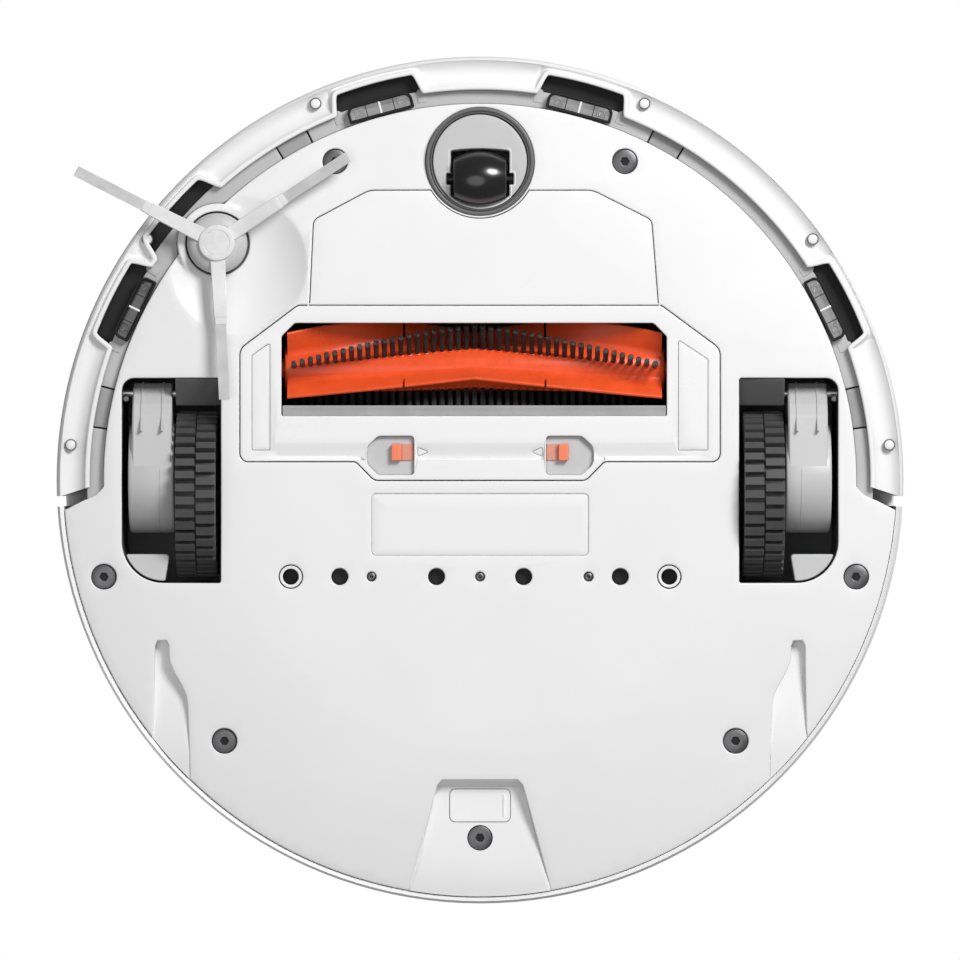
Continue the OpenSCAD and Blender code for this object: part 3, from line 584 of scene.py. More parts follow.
WHITE = (0.80, 0.80, 0.80)
MAKERS = {
    "white_plastic": lambda n: moulded_plastic(n, WHITE, 0.36, 0.12),
    "white_cover": lambda n: moulded_plastic(n, (0.82, 0.82, 0.82), 0.30, 0.08),
    "grey_frame": lambda n: moulded_plastic(n, (0.34, 0.34, 0.345), 0.5, 0.35, 0.05),
    "dark_plastic": lambda n: moulded_plastic(n, (0.006, 0.006, 0.006), 0.5, 0.3, 0.1, specular=0.3),
    "mid_grey_plastic": lambda n: moulded_plastic(n, (0.12, 0.12, 0.122), 0.42, 0.3, 0.04),
    "light_grey_plastic": lambda n: moulded_plastic(n, (0.52, 0.52, 0.525), 0.38, 0.2, 0.03),
    "sensor_window": lambda n: window_plastic(n, (0.22, 0.22, 0.225)),
    "tyre_rubber": lambda n: rubber(n, (0.012, 0.012, 0.012), 0.45, 0.35, 0.10),
    # lighter copy of the tyre rubber: painted highlight on the lugs' faces
    "lug_rubber": lambda n: rubber(n, (0.06, 0.06, 0.06), 0.5, 0.3, 0.04),
    "roller_rubber": lambda n: rubber(n, (0.80, 0.085, 0.018), 0.30, 0.10, 0.0),
    # lighter copy of the black bristle: painted highlight on the tufts' ends
    "tuft_tip": lambda n: bristle(n, (0.10, 0.10, 0.10), (0.18, 0.18, 0.18)),
    "bristle_black": lambda n: bristle(n, (0.006, 0.006, 0.006), (0.03, 0.03, 0.03)),
    "arm_rubber": lambda n: rubber(n, (0.72, 0.72, 0.72), 0.45, 0.15, 0.0),
    "side_bristle": lambda n: bristle(n, (0.50, 0.50, 0.50), (0.62, 0.62, 0.62), 0.5),
    "band_grey": lambda n: moulded_plastic(n, (0.44, 0.44, 0.445), 0.5, 0.3, 0.05),
    # darker copy of the band's grey: painted shade for the band's recessed spans
    "insert_grey": lambda n: moulded_plastic(n, (0.30, 0.30, 0.305), 0.5, 0.3, 0.05),
    "sensor_dark": lambda n: window_plastic(n, (0.018, 0.018, 0.019)),
    "gloss_black": lambda n: moulded_plastic(n, (0.008, 0.008, 0.008), 0.22, 0.08, 0.1, 0.4),
    "black_steel": lambda n: metal(n, (0.03, 0.03, 0.03), 0.35),
    "latch_pale": lambda n: moulded_plastic(n, (0.62, 0.24, 0.17), 0.3, 0.1, 0.03, 0.4),
    "scraper_grey": lambda n: rubber(n, (0.36, 0.36, 0.365), 0.5, 0.2, 0.0),
    "latch_orange": lambda n: moulded_plastic(n, (0.85, 0.22, 0.11), 0.4, 0.15, 0.03),
    "steel": lambda n: metal(n, (0.55, 0.55, 0.56)),
    "screw_steel": lambda n: metal(n, (0.16, 0.16, 0.165), 0.4, (1.0, 1.0, 1.0), 0.3),
    "brass": lambda n: metal(n, (0.72, 0.52, 0.22), 0.3),
    "contact_metal": lambda n: metal(n, (0.72, 0.71, 0.68), 0.2, (40.0, 40.0, 1.0)),
    "belt_rubber": lambda n: rubber(n, (0.02, 0.02, 0.02), 0.55, 0.4, 0.05),
    "cap_metal": lambda n: moulded_plastic(n, (0.60, 0.60, 0.61), 0.28, 0.1, 0.02, 0.4),
    "bin_plastic": lambda n: moulded_plastic(n, (0.06, 0.062, 0.067), 0.2, 0.05, 0.05, 0.5),
    "filter_paper": lambda n: fleece(n, (0.78, 0.77, 0.74)),
    "battery_wrap": lambda n: moulded_plastic(n, (0.02, 0.07, 0.25), 0.3, 0.1, 0.04),
    "circuit_board": lambda n: board(n, (0.01, 0.10, 0.04)),
}
_materials = {}


def material(slot):
    if slot not in _materials:
        _materials[slot] = MAKERS[slot](slot)
    return _materials[slot]


# ---- stage, lights and camera ---------------------------------------------------------------

def one_sided(name, colour):
    """Matt stage material that is clear from behind."""
    s = Shader(name)
    s.set(Roughness=0.9, Specular_IOR_Level=0.1)
    s.bsdf.inputs["Base Color"].default_value = (*colour, 1.0)
    clear = s.node("ShaderNodeBsdfTransparent")
    mix = s.node("ShaderNodeMixShader")
    s.link(s.node("ShaderNodeNewGeometry").outputs["Backfacing"], mix.inputs[0])
    s.link(s.bsdf.outputs[0], mix.inputs[1])
    s.link(clear.outputs[0], mix.inputs[2])
    s.link(mix.outputs[0], s.tree.nodes["Material Output"].inputs["Surface"])
    return s.material


def build_floor():
    """Pale floor under the robot, seen from above only, so that the view from below is free."""
    half = 3.0
    mesh = bpy.data.meshes.new("floor")
    mesh.from_pydata(
        [(-half, -half, 0), (half, -half, 0), (half, half, 0), (-half, half, 0)], [], [(0, 1, 2, 3)]
    )
    floor = bpy.data.objects.new("floor", mesh)
    floor.location.z = -0.0005
    bpy.context.scene.collection.objects.link(floor)
    mesh.materials.append(one_sided("floor", (0.82, 0.82, 0.82)))
    floor.visible_diffuse = False
    floor.visible_glossy = False
    floor.visible_transmission = False
    floor.visible_shadow = False


def area_light(name, place, aim, size, power):
    data = bpy.data.lights.new(name, "AREA")
    data.shape = "DISK"
    data.size = size
    data.energy = power
    light = bpy.data.objects.new(name, data)
    light.location = place
    light.rotation_euler = (Vector(aim) - Vector(place)).to_track_quat("-Z", "Y").to_euler()
    bpy.context.scene.collection.objects.link(light)


def build_lights():
    world = bpy.data.worlds.new("studio")
    bpy.context.scene.world = world
    world.use_nodes = True
    tree = world.node_tree
    lit = tree.nodes["Background"]
    lit.inputs["Color"].default_value = (1.0, 1.0, 1.0, 1.0)
    lit.inputs["Strength"].default_value = 0.22
    seen = tree.nodes.new("ShaderNodeBackground")
    seen.inputs["Color"].default_value = (1.0, 1.0, 1.0, 1.0)
    seen.inputs["Strength"].default_value = 1.0
    mix = tree.nodes.new("ShaderNodeMixShader")
    path = tree.nodes.new("ShaderNodeLightPath")
    tree.links.new(path.outputs["Is Camera Ray"], mix.inputs[0])
    tree.links.new(lit.outputs[0], mix.inputs[1])
    tree.links.new(seen.outputs[0], mix.inputs[2])
    tree.links.new(mix.outputs[0], tree.nodes["World Output"].inputs["Surface"])
    area_light("below_key", (-0.80, 0.95, -1.30), (0, 0, 0.02), 0.7, 30.0)
    area_light("below_fill", (0.3, -0.2, -1.8), (0, 0, 0.02), 1.4, 7.0)
    area_light("above_key", (-0.9, 0.8, 1.6), (0, 0, 0.05), 0.9, 20.0)
    area_light("above_fill", (1.1, -0.9, 1.4), (0, 0, 0.05), 1.2, 10.0)


def build_camera():
    """Camera straight under the robot, far off with a long lens, front of the robot up."""
    disc_share = 0.884375
    picture_width = 2 * RIM_R / disc_share
    distance = 3.0
    data = bpy.data.cameras.new("camera")
    data.sensor_width = 36.0
    data.lens = 36.0 * (distance + PLATE_Z * MM) / (picture_width * MM)
    data.clip_end = 20.0
    camera = bpy.data.objects.new("camera", data)
    camera.location = (0, 0, -distance)
    camera.rotation_euler = (0, math.pi, 0)
    bpy.context.scene.collection.objects.link(camera)
    bpy.context.scene.camera = camera


build_camera()
build_floor()
build_lights()
bpy.context.scene.view_settings.view_transform = "Standard"
bpy.context.scene.view_settings.look = "None"


# ---- outlines ---------------------------------------------------------------------------------

def circle(centre, radius, step=6.0):
    return arc(centre, radius, 0, 360 - step, step)


GROOVE = [
    (126.6, -67.3), (127.6, -65.3), (131.2, -65.3), (132.2, -67.3), (132.5, -84.0),
    (132.9, -101.1), (133.3, -104.9),
]
GROOVE_INNER = [
    (118.2, -121.7), (118.3, -112.0), (119.0, -92.0), (119.6, -87.8), (121.4, -83.6),
    (124.4, -78.4), (126.2, -74.4), (126.6, -71.5),
]
RECESS_TOP = -121.9
RECESS_HALF = 28.9
WELL_IN, WELL_OUT = 105.3, 145.8
WELL_REAR, WELL_FRONT = -41.9, 41.5


def plate_outline():
    """Edge of the base plate: front arc, bulge round the side brush, shoulders, grooves, recess."""
    hub_radius = math.hypot(*HUB)
    reach = (hub_radius ** 2 + FRONT_R ** 2 - COLLAR_R ** 2) / (2 * hub_radius * FRONT_R)
    bulge = math.degrees(math.acos(reach))
    shoulder = [(154.6, -4.4), (156.2, -6.0), (158.6, -7.2), (161.9, -8.6), (169.1, -12.2)]

    def front(start, end):
        return [polar(FRONT_R, start + (end - start) * k / 60) for k in range(61)]

    def rear(start, end):
        return [polar(PLATE_R, start + (end - start) * k / 40) for k in range(1, 40)]

    first = polar(FRONT_R, HUB_ANGLE - bulge)
    last = polar(FRONT_R, HUB_ANGLE + bulge)
    a0 = math.degrees(math.atan2(first[1] - HUB[1], first[0] - HUB[0]))
    a1 = math.degrees(math.atan2(last[1] - HUB[1], last[0] - HUB[0]))
    collar = arc(HUB, COLLAR_R, a0, a1, 5.0)

    def side(with_bulge):
        recess = recess_side()[::-1]
        points = []
        if with_bulge:
            points += front(0, HUB_ANGLE - bulge)[:-1] + collar + front(HUB_ANGLE + bulge, 91.0)[1:]
        else:
            points += front(0, 91.0)
        points += shoulder
        points += rear(94.2, bearing(GROOVE[-1]))
        points += GROOVE[::-1] + GROOVE_INNER[::-1]
        return points + rear(bearing(GROOVE_INNER[0]), bearing(recess[0])) + recess

    return side(True) + mirrored(side(False))[:-1]


def well_outline(side):
    """Edge of a wheel well; side is 1 on the right and -1 on the left."""
    corner = 17.0
    points = (
        arc((WELL_IN + 1, WELL_REAR + 1), 1, 180, 270, 30)
        + arc((WELL_OUT - corner, WELL_REAR + corner), corner, 270, 360, 6)
        + arc((WELL_OUT - 5, WELL_FRONT - 5), 5, 0, 90, 15)
        + arc((WELL_IN + 1, WELL_FRONT - 1), 1, 90, 180, 30)
    )
    return on_side(points, side)


def cover_outline(grow=0.0):
    """Edge of the main-brush cover, grown outwards."""
    points = [
        (-43.0, 0.0), (43.0, 0.0), (50.4, 7.6), (97.4, 7.6), (97.4, 53.2), (74.0, 70.8),
        (-73.6, 70.8), (-97.4, 53.2), (-97.4, 7.6), (-50.4, 7.6),
    ]
    loop = rounded(points, [4, 4, 3, 3.2, 5, 4, 4, 5, 3.2, 3])
    return offset_loop(loop, -grow) if grow else loop


def cover_window():
    """Opening of the cover over the brush."""
    points = [
        (-75.9, 26.0), (80.7, 26.0), (80.7, 58.4), (75.3, 63.8), (-70.5, 63.8), (-75.9, 58.4),
    ]
    return rounded(points, [0.6, 0.6, 2, 2, 2, 2])


def panel_outline(grow=0.0):
    """Panel between the main brush and the caster, cut round the caster."""
    notch_r = 23.3
    top = 117.6
    reach = math.degrees(math.acos((CASTER[1] - top) / notch_r))
    notch = arc(CASTER, notch_r, 270 - reach, 270 + reach, 5)
    points = rounded(
        [(-72.3, 71.2), (69.1, 71.2), (67.5, 105.6), (45.0, top), (30, top), (-30, top),
         (-45.8, top), (-69.6, 105.6)],
        [0, 0, 3.5, 10, 0, 0, 10, 3.5],
    )
    cut = next(i for i, p in enumerate(points) if math.dist(p, (30, top)) < 0.01)
    points[cut:cut + 2] = notch[::-1]
    return offset_loop(points, -grow) if grow else points


def latch_pocket(side):
    """Finger pocket round a latch."""
    points = rounded(
        [(26.8, 2.0), (41.4, 2.0), (46.0, 6.4), (46.0, 13.5), (41.4, 17.9), (26.8, 17.9)],
        [1.6, 3, 4, 4, 3, 1.6],
    )
    return on_side(points, side)


BIG_SCREWS = [
    (153.1, -39.4), (-153.1, -39.4), (104.0, -106.2), (-104.0, -106.2),
    (0.0, -145.7), (58.9, 129.6), (-58.9, 129.6),
]
SMALL_SCREWS = [(0.0, -39.3), (44.1, -39.3), (-44.1, -39.3)]
SCREW_R = 4.95
COUNTERBORE_R = 5.2
PLAIN_HOLES = [(57.0, -39.3), (-57.0, -39.3), (17.7, -39.3), (-17.7, -39.3)]
RINGED_HOLES = [(76.9, -39.3), (-76.9, -39.3)]
BLANK_PLATE = rounded([(-43.9, -30.5), (43.9, -30.5), (43.9, -5.7), (-43.9, -5.7)], 1.6, 4)


def slope(x, y):
    """Level of the base plate's underside without its side-brush bowl."""
    t = max(0.0, (math.hypot(x, y) - FLAT_R) / (PLATE_R - FLAT_R))
    return PLATE_Z + RIM_RISE * t ** 1.5


def plate_level(x, y):
    """Level of the underside, with the bowl that the side brush turns in."""
    level = slope(x, y)
    reach = math.dist((x, y), DISH) / DISH_R
    if reach < 1:
        bowl_floor = PLATE_Z + 7.0
        level += (bowl_floor - level) * (1 - reach ** 2.3)
    collar = math.dist((x, y), HUB)
    wide = smoothstep((COLLAR_R + 0.9 - collar) / 1.5) * smoothstep((math.hypot(x, y) - FRONT_R + 8) / 6)
    level += (min(level, PLATE_Z + 2.6) - level) * wide
    return level


def seam_shade_strip(name, loop, width, level):
    """Thin dark strip behind a seam, painting the shade in the gap."""
    outer = offset_loop(loop, -width / 2)
    inner = offset_loop(loop, width / 2)
    verts, faces = moulded(outer, [inner], lambda x, y: slope(x, y) + level, 0.1, 0.6, 0, 1)
    return piece(name, verts, faces, "chassis", "dark_plastic")


def build_base_plate():
    """Grooved underside with its openings, and the blank inset behind the brush cover."""
    holes = [
        well_outline(1), well_outline(-1), cover_outline(0.42), panel_outline(0.36),
        circle(CASTER, 22.15, 3.0), circle(HUB, 13.0, 5.0),
    ]
    walls = [5.6, 2.4, 2.4, 2.2, 2.2, 3.0, 5.0]
    for p in BIG_SCREWS:
        if abs(p[0]) > 1:
            holes.append(circle(p, COUNTERBORE_R, 10.0))
            walls.append(2.6)
    for p in PLAIN_HOLES:
        holes.append(circle(p, 3.45, 15.0))
        walls.append(2.2)
    for p in RINGED_HOLES:
        holes.append(circle(p, 4.95, 12.0))
        walls.append(1.0)
    for p in SMALL_SCREWS:
        holes.append(circle(p, 2.0, 20.0))
        walls.append(1.0)
    holes.append(offset_loop(BLANK_PLATE, -0.1))
    walls.append(0.5)
    bowl_grid = [
        (DISH[0] + r * math.cos(a), DISH[1] + r * math.sin(a))
        for r in [k * 0.95 for k in range(2, 31)]
        for a in [TAU * j / max(12, int(r * 5)) for j in range(max(12, int(r * 5)))]
    ]
    verts, faces = moulded(
        plate_outline(), holes, plate_level, 0.6, 2.2, 4.0, 4, -1, walls, bowl_grid
    )
    piece("base_plate_skin", verts, faces, "chassis", "white_plastic", ("base_plate",))
    verts, faces = moulded(BLANK_PLATE, [], lambda x, y: slope(x, y) + 0.08, 0.08, 0.5, 6.0, 2)
    piece("blank_plate", verts, faces, "chassis", "white_plastic")


def rim_arc(first, last, steps=30):
    """Points on the plate's rear rim between two points, ends left out."""
    a = math.atan2(first[0], first[1])
    b = math.atan2(last[0], last[1])
    if b - a > math.pi:
        b -= TAU
    if a - b > math.pi:
        b += TAU
    return [
        (PLATE_R * math.sin(a + (b - a) * k / steps), PLATE_R * math.cos(a + (b - a) * k / steps))
        for k in range(1, steps)
    ]


def recess_side():
    """Right edge of the rear recess, from its front wall out to the rim."""
    return [
        (15.2, RECESS_TOP), (17.2, RECESS_TOP - 1.9), (18.6, RECESS_TOP - 6.6),
        (RECESS_HALF, -math.sqrt(PLATE_R ** 2 - RECESS_HALF ** 2)),
    ]


def recess_level(x, y):
    """Floor of the rear recess: a steep front wall, then a long ramp out to the rim."""
    wall = 3.0
    depth = 5.4
    down = RECESS_TOP - y
    if down < wall:
        return slope(x, y) + 0.6 + (depth - 0.6) * max(0.0, down / wall)
    return slope(x, y) + depth * (1 - smoothstep((down - wall) / 41)) + 0.15


def build_pocket_floors():
    """Ramped floors of the two side grooves and of the rear recess, with its small cover."""
    length = 50.0
    for side, name in SIDES:
        rim = rim_arc(GROOVE[-1], GROOVE_INNER[0])
        loop = counter_clockwise(on_side(GROOVE + rim + GROOVE_INNER, side))

        def level(x, y):
            return slope(x, y) + 5.4 * (1 - smoothstep((GROOVE[1][1] - y) / length)) + 0.15

        flat, faces = filled(loop, [], 1.5)
        verts = [(x, y, level(x, y)) for x, y in flat]
        piece("groove_floor_" + name, verts, [f[::-1] for f in faces], "chassis", "white_plastic")
    half = recess_side()
    loop = counter_clockwise(half + rim_arc(half[-1], mirrored(half)[0]) + mirrored(half))
    plate = rounded([(-12.3, -139.2), (12.3, -139.2), (12.3, -125.9), (-12.3, -125.9)], 2.2)
    gap = 0.22
    verts, faces = moulded(
        loop, [offset_loop(plate, -gap)[::-1], circle((0, -145.7), COUNTERBORE_R, 10)],
        recess_level, 0.05, 0.2, 1.5, 1, -1, [0.2, 0.8, 2.0],
        [(x, RECESS_TOP - 3.0) for x in range(-15, 16)],
    )
    piece("recess_floor", verts, faces, "chassis", "white_plastic")
    rib = rounded([(-10.0, -137.2), (-9.4, -137.2), (-9.4, -127.9), (-10.0, -127.9)], 0.2)
    verts, faces = joined(
        moulded(plate, [], recess_level, 0.25, 0.9, 1.5, 3),
        moulded(rib, [], lambda x, y: recess_level(x, y) - 0.35, 0.15, 0.6, 0, 2),
    )
    piece("recess_cover", verts, faces, "chassis", "white_cover")


def build_duct_panel():
    verts, faces = moulded(
        panel_outline(), [], lambda x, y: slope(x, y) + 0.02, 0.3, PLATE_T - 0.2, 6.0
    )
    piece("duct_panel_skin", verts, faces, "chassis", "white_cover", ("duct_panel",))


BAND = (8.1, 15.2)


def cover_level(x, y):
    """Brush cover's face, with the shallow ramp behind the scraper."""
    ends = smoothstep((97.0 - abs(x)) / 12)
    drop = 0.0
    if BAND[0] < y < BAND[1]:
        drop = 1.9 * (BAND[1] - y) / (BAND[1] - BAND[0])
    if y <= BAND[0] and abs(x) > 52:
        drop = 1.9 * smoothstep((y - BAND[0] + 1.2) / 1.2)
    return slope(x, y) + drop * ends


def side_panel(side):
    """Inset panel beside the brush."""
    if side > 0:
        points = [(85.5, 12.2), (92.6, 12.2), (92.6, 50.5), (85.5, 55.6)]
    else:
        points = [(-92.5, 12.2), (-80.7, 12.2), (-80.7, 56.8), (-92.5, 48.9)]
    return rounded(points, 0.5, 3)


def arrow(side):
    """Triangular mark beside a latch."""
    points = [(21.0, 11.4), (25.2, 9.7), (25.2, 13.1)]
    return rounded(on_side(points, side), 0.3, 3)


def build_brush_cover():
    """Cover of the main brush, with its inset panels, arrow marks and latch pockets."""
    gap = 0.16
    holes = [cover_window()]
    walls = [2.0]
    for side in (1, -1):
        holes.append(latch_pocket(side))
        walls.append(2.0)
        holes.append(offset_loop(side_panel(side), -gap))
        walls.append(0.7)
        holes.append(offset_loop(counter_clockwise(arrow(side)), -gap))
        walls.append(0.7)
    lines = [
        (x * 0.9, y) for x in range(-107, 108)
        for y in (BAND[0] - 0.05, BAND[0] + 0.15, BAND[1] - 0.1, BAND[1] + 0.1)
    ]
    verts, faces = moulded(
        cover_outline(), holes, cover_level, 0.45, 2.0, 3.0, 4, -1, [2.0] + walls, lines
    )
    piece("brush_cover_skin", verts, faces, "chassis", "white_cover", ("brush_cover",))
    for side, name in SIDES:
        inset = moulded(
            side_panel(side), [], lambda x, y: cover_level(x, y) + 0.06, 0.18, 0.9, 3.0, 3
        )
        mark = moulded(arrow(side), [], lambda x, y: cover_level(x, y) + 0.03, 0.15, 0.8, 0, 3)
        piece("cover_inset_" + name, *joined(inset, mark), "chassis", "white_cover")
        floor = counter_clockwise(offset_loop(latch_pocket(side), -0.3))
        bed_outline = on_side([(27.0, 8.0), (33.0, 8.0), (33.0, 14.6), (27.0, 14.6)], side)
        verts, faces = moulded(
            floor, [], lambda x, y: PLATE_Z + 2.4 + 0.3 * smoothstep((abs(x) - 38) / 6),
            0.1, 0.3, 2.0, 2,
        )
        piece("latch_pocket_floor_" + name, verts, faces, "chassis", "light_grey_plastic")
        bed = moulded(rounded(bed_outline, 0.3, 3), [], lambda x, y: PLATE_Z + 1.75, 0.15, 0.8, 0, 2)
        piece("latch_bed_" + name, *bed, "chassis", "latch_orange", finish="latch_pale")


def build_latches():
    """Ribbed grips that slide in the latch pockets."""
    for side, name in SIDES:
        near, far = 31.9, 36.0
        points = on_side([(near, 7.9), (far, 7.9), (far, 14.7), (near, 14.7)], side)
        grip = moulded(
            rounded(points, 0.5, 4), [], lambda x, y: PLATE_Z - 0.5, 0.35, 2.1, 0, 4
        )
        ribs = []
        for k in range(2):
            x = near + 1.3 + 1.4 * k
            rib = on_side([(x, 8.9), (x + 0.5, 8.9), (x + 0.5, 13.7), (x, 13.7)], side)
            ribs.append(moulded(rounded(rib, 0.2, 2), [], lambda x, y: PLATE_Z - 0.6, 0.1, 0.3, 0, 2))
        body = name + "_latch"
        piece(body + "_grip", *joined(grip, *ribs), body, "latch_orange", (body,))


def build_scraper():
    """Grey wiper behind the brush, with a rounded lip along its front."""
    points = [(-75.5, 26.0), (80.3, 26.0), (80.3, 30.3), (-75.5, 30.3)]
    verts, faces = moulded(
        rounded(points, 0.4, 3), [], lambda x, y: PLATE_Z + 0.45 - 0.35 * smoothstep((y - 28.8) / 0.7),
        0.3, 1.6, 0.9, 3,
    )
    piece("scraper_lip", verts, faces, "chassis", "grey_frame", ("scraper_strip",),
          finish="scraper_grey")


def screw_head(centre, radius, socket, level):
    """Countersunk head with a hexagonal socket, its face at a level."""
    hexagon = circle(centre, socket, 60)
    dome = 0.35

    def face(x, y):
        reach = math.dist((x, y), centre) / radius
        return level + dome * reach * reach

    head = moulded(circle(centre, radius, 8), [hexagon], face, 0.3, 1.4, 0, 3, -1, [1.4, 1.8])
    depth = level + 0.95
    reach = socket * 1.1
    turns = [TAU * k / 6 for k in range(6)]
    floor = [(centre[0] + reach * math.cos(a), centre[1] + reach * math.sin(a), depth) for a in turns]
    return joined(head, (floor, [[5, 4, 3, 2, 1, 0]]))


def build_screws():
    """Screw heads, white rims of the holes in the base plate, and dark discs and cups inside the holes
    that paint the shade in them.
    """
    heads, hole_shades, rings = [], [], []
    z = PLATE_Z
    for p in BIG_SCREWS:
        level = recess_level(*p) if abs(p[0]) < 1 else plate_level(*p)
        heads.append(screw_head(p, SCREW_R, 1.75, level + 0.45))
        # Painted shade: a dark ring behind the gap round the head and a dark disc behind its socket.
        hole_shades.append(turned([(5.3, level + 1.9), (2.1, level + 1.9)], p, step=12))
        hole_shades.append(turned([(1.9, level + 1.15), (0.1, level + 1.15)], p, step=30))
    for p in SMALL_SCREWS:
        heads.append(screw_head(p, 1.75, 0.6, plate_level(*p) + 0.2))
        hole_shades.append(turned([(2.05, z + 0.9), (0.2, z + 0.9)], p, step=20))
    for p in PLAIN_HOLES:
        hole_shades.append(turned([(3.46, z + 1.2), (3.46, z + 4), (0.2, z + 4)], p, step=12))
    for p in RINGED_HOLES:
        hole_shades.append(turned([(3.27, z + 1), (3.27, z + 5.9), (0.2, z + 5.9)], p, step=12))
        hole_shades.append(turned([(5.0, z + 0.8), (4.3, z + 0.8)], p, step=12))
        rings.append(turned(
            [(4.5, z + 0.9), (4.47, z + 0.2), (4.3, z + 0.02), (3.5, z + 0.02), (3.29, z + 0.15),
             (3.26, z + 1.1)],
            p, step=8,
        ))
    piece("screw_heads", *joined(*heads), "chassis", "screw_steel", ("base_screws",))
    # Painted shade: the dark discs and cups inside the holes.
    piece("painted_hole_shades", *joined(*hole_shades), "chassis", "dark_plastic")
    piece("hole_rings", *joined(*rings), "chassis", "white_plastic")


def build_seam_shades():
    # Painted shade: dark strips behind the seams of the brush cover and the duct panel.
    seam_shade_strip("cover_seam_shade", cover_outline(0.2), 1.8, 2.3)
    seam_shade_strip("panel_seam_shade", panel_outline(0.2), 1.8, 0.9)


build_base_plate()
build_pocket_floors()
build_duct_panel()
build_brush_cover()
build_latches()
build_scraper()
build_screws()
build_seam_shades()


# ---- bumper, frame band and cliff sensors ---------------------------------------------------------

BUMPER_END = 92.2
PLUG_ANGLES = (23.6, 54.1, 85.1)
SENSOR_POCKET = (6.7, 5.3, RIM_R - 5.4)


def pockets():
    """Pockets in the bumper's lip: middle angle, half widths at its mouth and at its bed, reach."""
    rows = [(s * a, *SENSOR_POCKET) for a in SENSOR_ANGLES for s in (-1, 1)]
    rows.append((HUB_ANGLE + 0.6, 7.2, 5.2, RIM_R - 4.9))
    return sorted(rows)


def lip_inner(degrees):
    """Radius of the lip's inner edge, which goes out round each pocket."""
    radius = LIP_R
    for centre, mouth, bed, reach in pockets():
        inwards = (mouth - abs(degrees - centre)) / (mouth - bed)
        radius = max(radius, LIP_R + (reach - LIP_R) * smoothstep(inwards))
    return radius


def bumper_angles():
    """Angles of the bumper's cross-sections, close together at the sides of its pockets."""
    marks = {-BUMPER_END, BUMPER_END}
    marks |= {k * 1.0 for k in range(-92, 93)}
    for centre, mouth, bed, _ in pockets():
        for side in (-1, 1):
            marks |= {centre + side * (bed - 0.4 + (mouth - bed + 0.8) * k / 22) for k in range(23)}
    ordered = sorted(marks)
    kept = [ordered[0]]
    for angle in ordered[1:-1]:
        if angle - kept[-1] > 0.04 and ordered[-1] - angle > 0.04:
            kept.append(angle)
    return kept + [ordered[-1]]


def lip_outer(angles, width):
    """Radius of the lip's outer edge on each ray, a constant width away from the inner edge."""
    inner = [lip_inner(a) for a in angles]
    outer = []
    for i, a in enumerate(angles):
        best = inner[i] + width
        for k in range(max(0, i - 40), min(len(angles), i + 41)):
            turn = math.radians(angles[k] - a)
            aside = inner[k] * math.sin(turn)
            if abs(aside) < width:
                best = max(best, inner[k] * math.cos(turn) + math.sqrt(width ** 2 - aside ** 2))
        outer.append(best)
    return inner, outer


def end_lean(angle, radius, edge):
    """Angle by which a bumper cross-section near an end leans back at a radius inside the rim."""
    near_end = smoothstep((abs(angle) - 86) / (BUMPER_END - 86))
    return math.copysign(1.2 * near_end * max(0.0, (edge - radius) / (edge - LIP_R)), angle)


def build_bumper():
    angles = bumper_angles()
    inner, outer = lip_outer(angles, 2.0)
    top = high("bumper", 2)
    z = LIP_Z
    edge = RIM_R - 1.9
    lip = [(0.0, 2.4), (0.0, 0.45), (0.08, 0.14), (0.2, 0.0), (0.8, 0.0), (0.92, 0.14), (1.0, 0.6)]
    trough = [(0.05, 1.4), (0.18, 2.3), (0.40, 3.1), (0.62, 3.15), (0.82, 2.5), (0.96, 1.6), (1.0, 1.3)]
    band = [
        (edge + 0.12, z + 1.15), (edge + 0.3, z + 0.95), (RIM_R - 0.85, z + 1.7), (RIM_R - 0.3, z + 2.6),
        (RIM_R, z + 4.2), (RIM_R, z + 30), (RIM_R, top - 1.6), (RIM_R - 0.5, top - 0.4),
        (RIM_R - 1.5, top), (RIM_R - 4.9, top),
    ]
    rings = []
    for angle, near, far in zip(angles, inner, outer):
        far = min(far, edge - 0.35)
        profile = [(near + (far - near) * t, z + up) for t, up in lip]
        depth = clamped((edge - far) / 6.0)
        for t, up in trough:
            profile.append((far + (edge - far) * t, z + 0.6 + (up - 0.6) * (0.35 + 0.65 * depth)))
        rings.append([(*polar(r, angle - end_lean(angle, r, edge)), up) for r, up in profile + band])
    shell = swept(rings, closed_ring=False)
    ends = []
    for ring, turn in ((rings[0], 1), (rings[-1], -1)):
        face = list(range(len(ring)))
        ends.append((ring, [face if turn > 0 else face[::-1]]))
    verts, faces = joined(shell, *ends)
    verts, faces = welded(verts, [f[::-1] for f in faces])
    orient(piece("bumper_skin", verts, faces, "bumper", "white_plastic", ("bumper",), angle=50))
    plugs = []
    for a in PLUG_ANGLES:
        for s in (-1, 1):
            centre = polar(RIM_R - 5.3, s * a)
            level = z + 0.75
            plugs.append(turned(
                [(0.02, level), (1.6, level), (1.9, level + 0.2), (1.95, level + 1.6)], centre, step=12
            ))
    piece("plug_faces", *joined(*plugs), "bumper", "white_cover", ("bumper_plugs",))
    rims = [
        turned([(1.95, z + 0.95), (2.02, z + 0.8), (2.3, z + 0.8), (2.42, z + 1.2), (2.42, z + 2.2)],
               polar(RIM_R - 5.3, s * a), step=12)
        for a in PLUG_ANGLES for s in (-1, 1)
    ]
    piece("plug_rims", *joined(*rims), "bumper", "mid_grey_plastic")


def orient(thing):
    """Makes a mesh's faces look outwards."""
    mesh = bmesh.new()
    mesh.from_mesh(thing.data)
    bmesh.ops.recalc_face_normals(mesh, faces=mesh.faces)
    mesh.to_mesh(thing.data)
    mesh.free()


def round_collar(degrees):
    """Radius on a ray at which the collar round the side brush ends; 0 where the ray misses it."""
    reach = math.hypot(*HUB)
    turn = math.radians(degrees - HUB_ANGLE)
    aside = reach * math.sin(turn)
    room = COLLAR_R + 0.3
    if abs(aside) >= room or abs(degrees - HUB_ANGLE) > 90:
        return 0.0
    return reach * math.cos(turn) + math.sqrt(room ** 2 - aside ** 2)


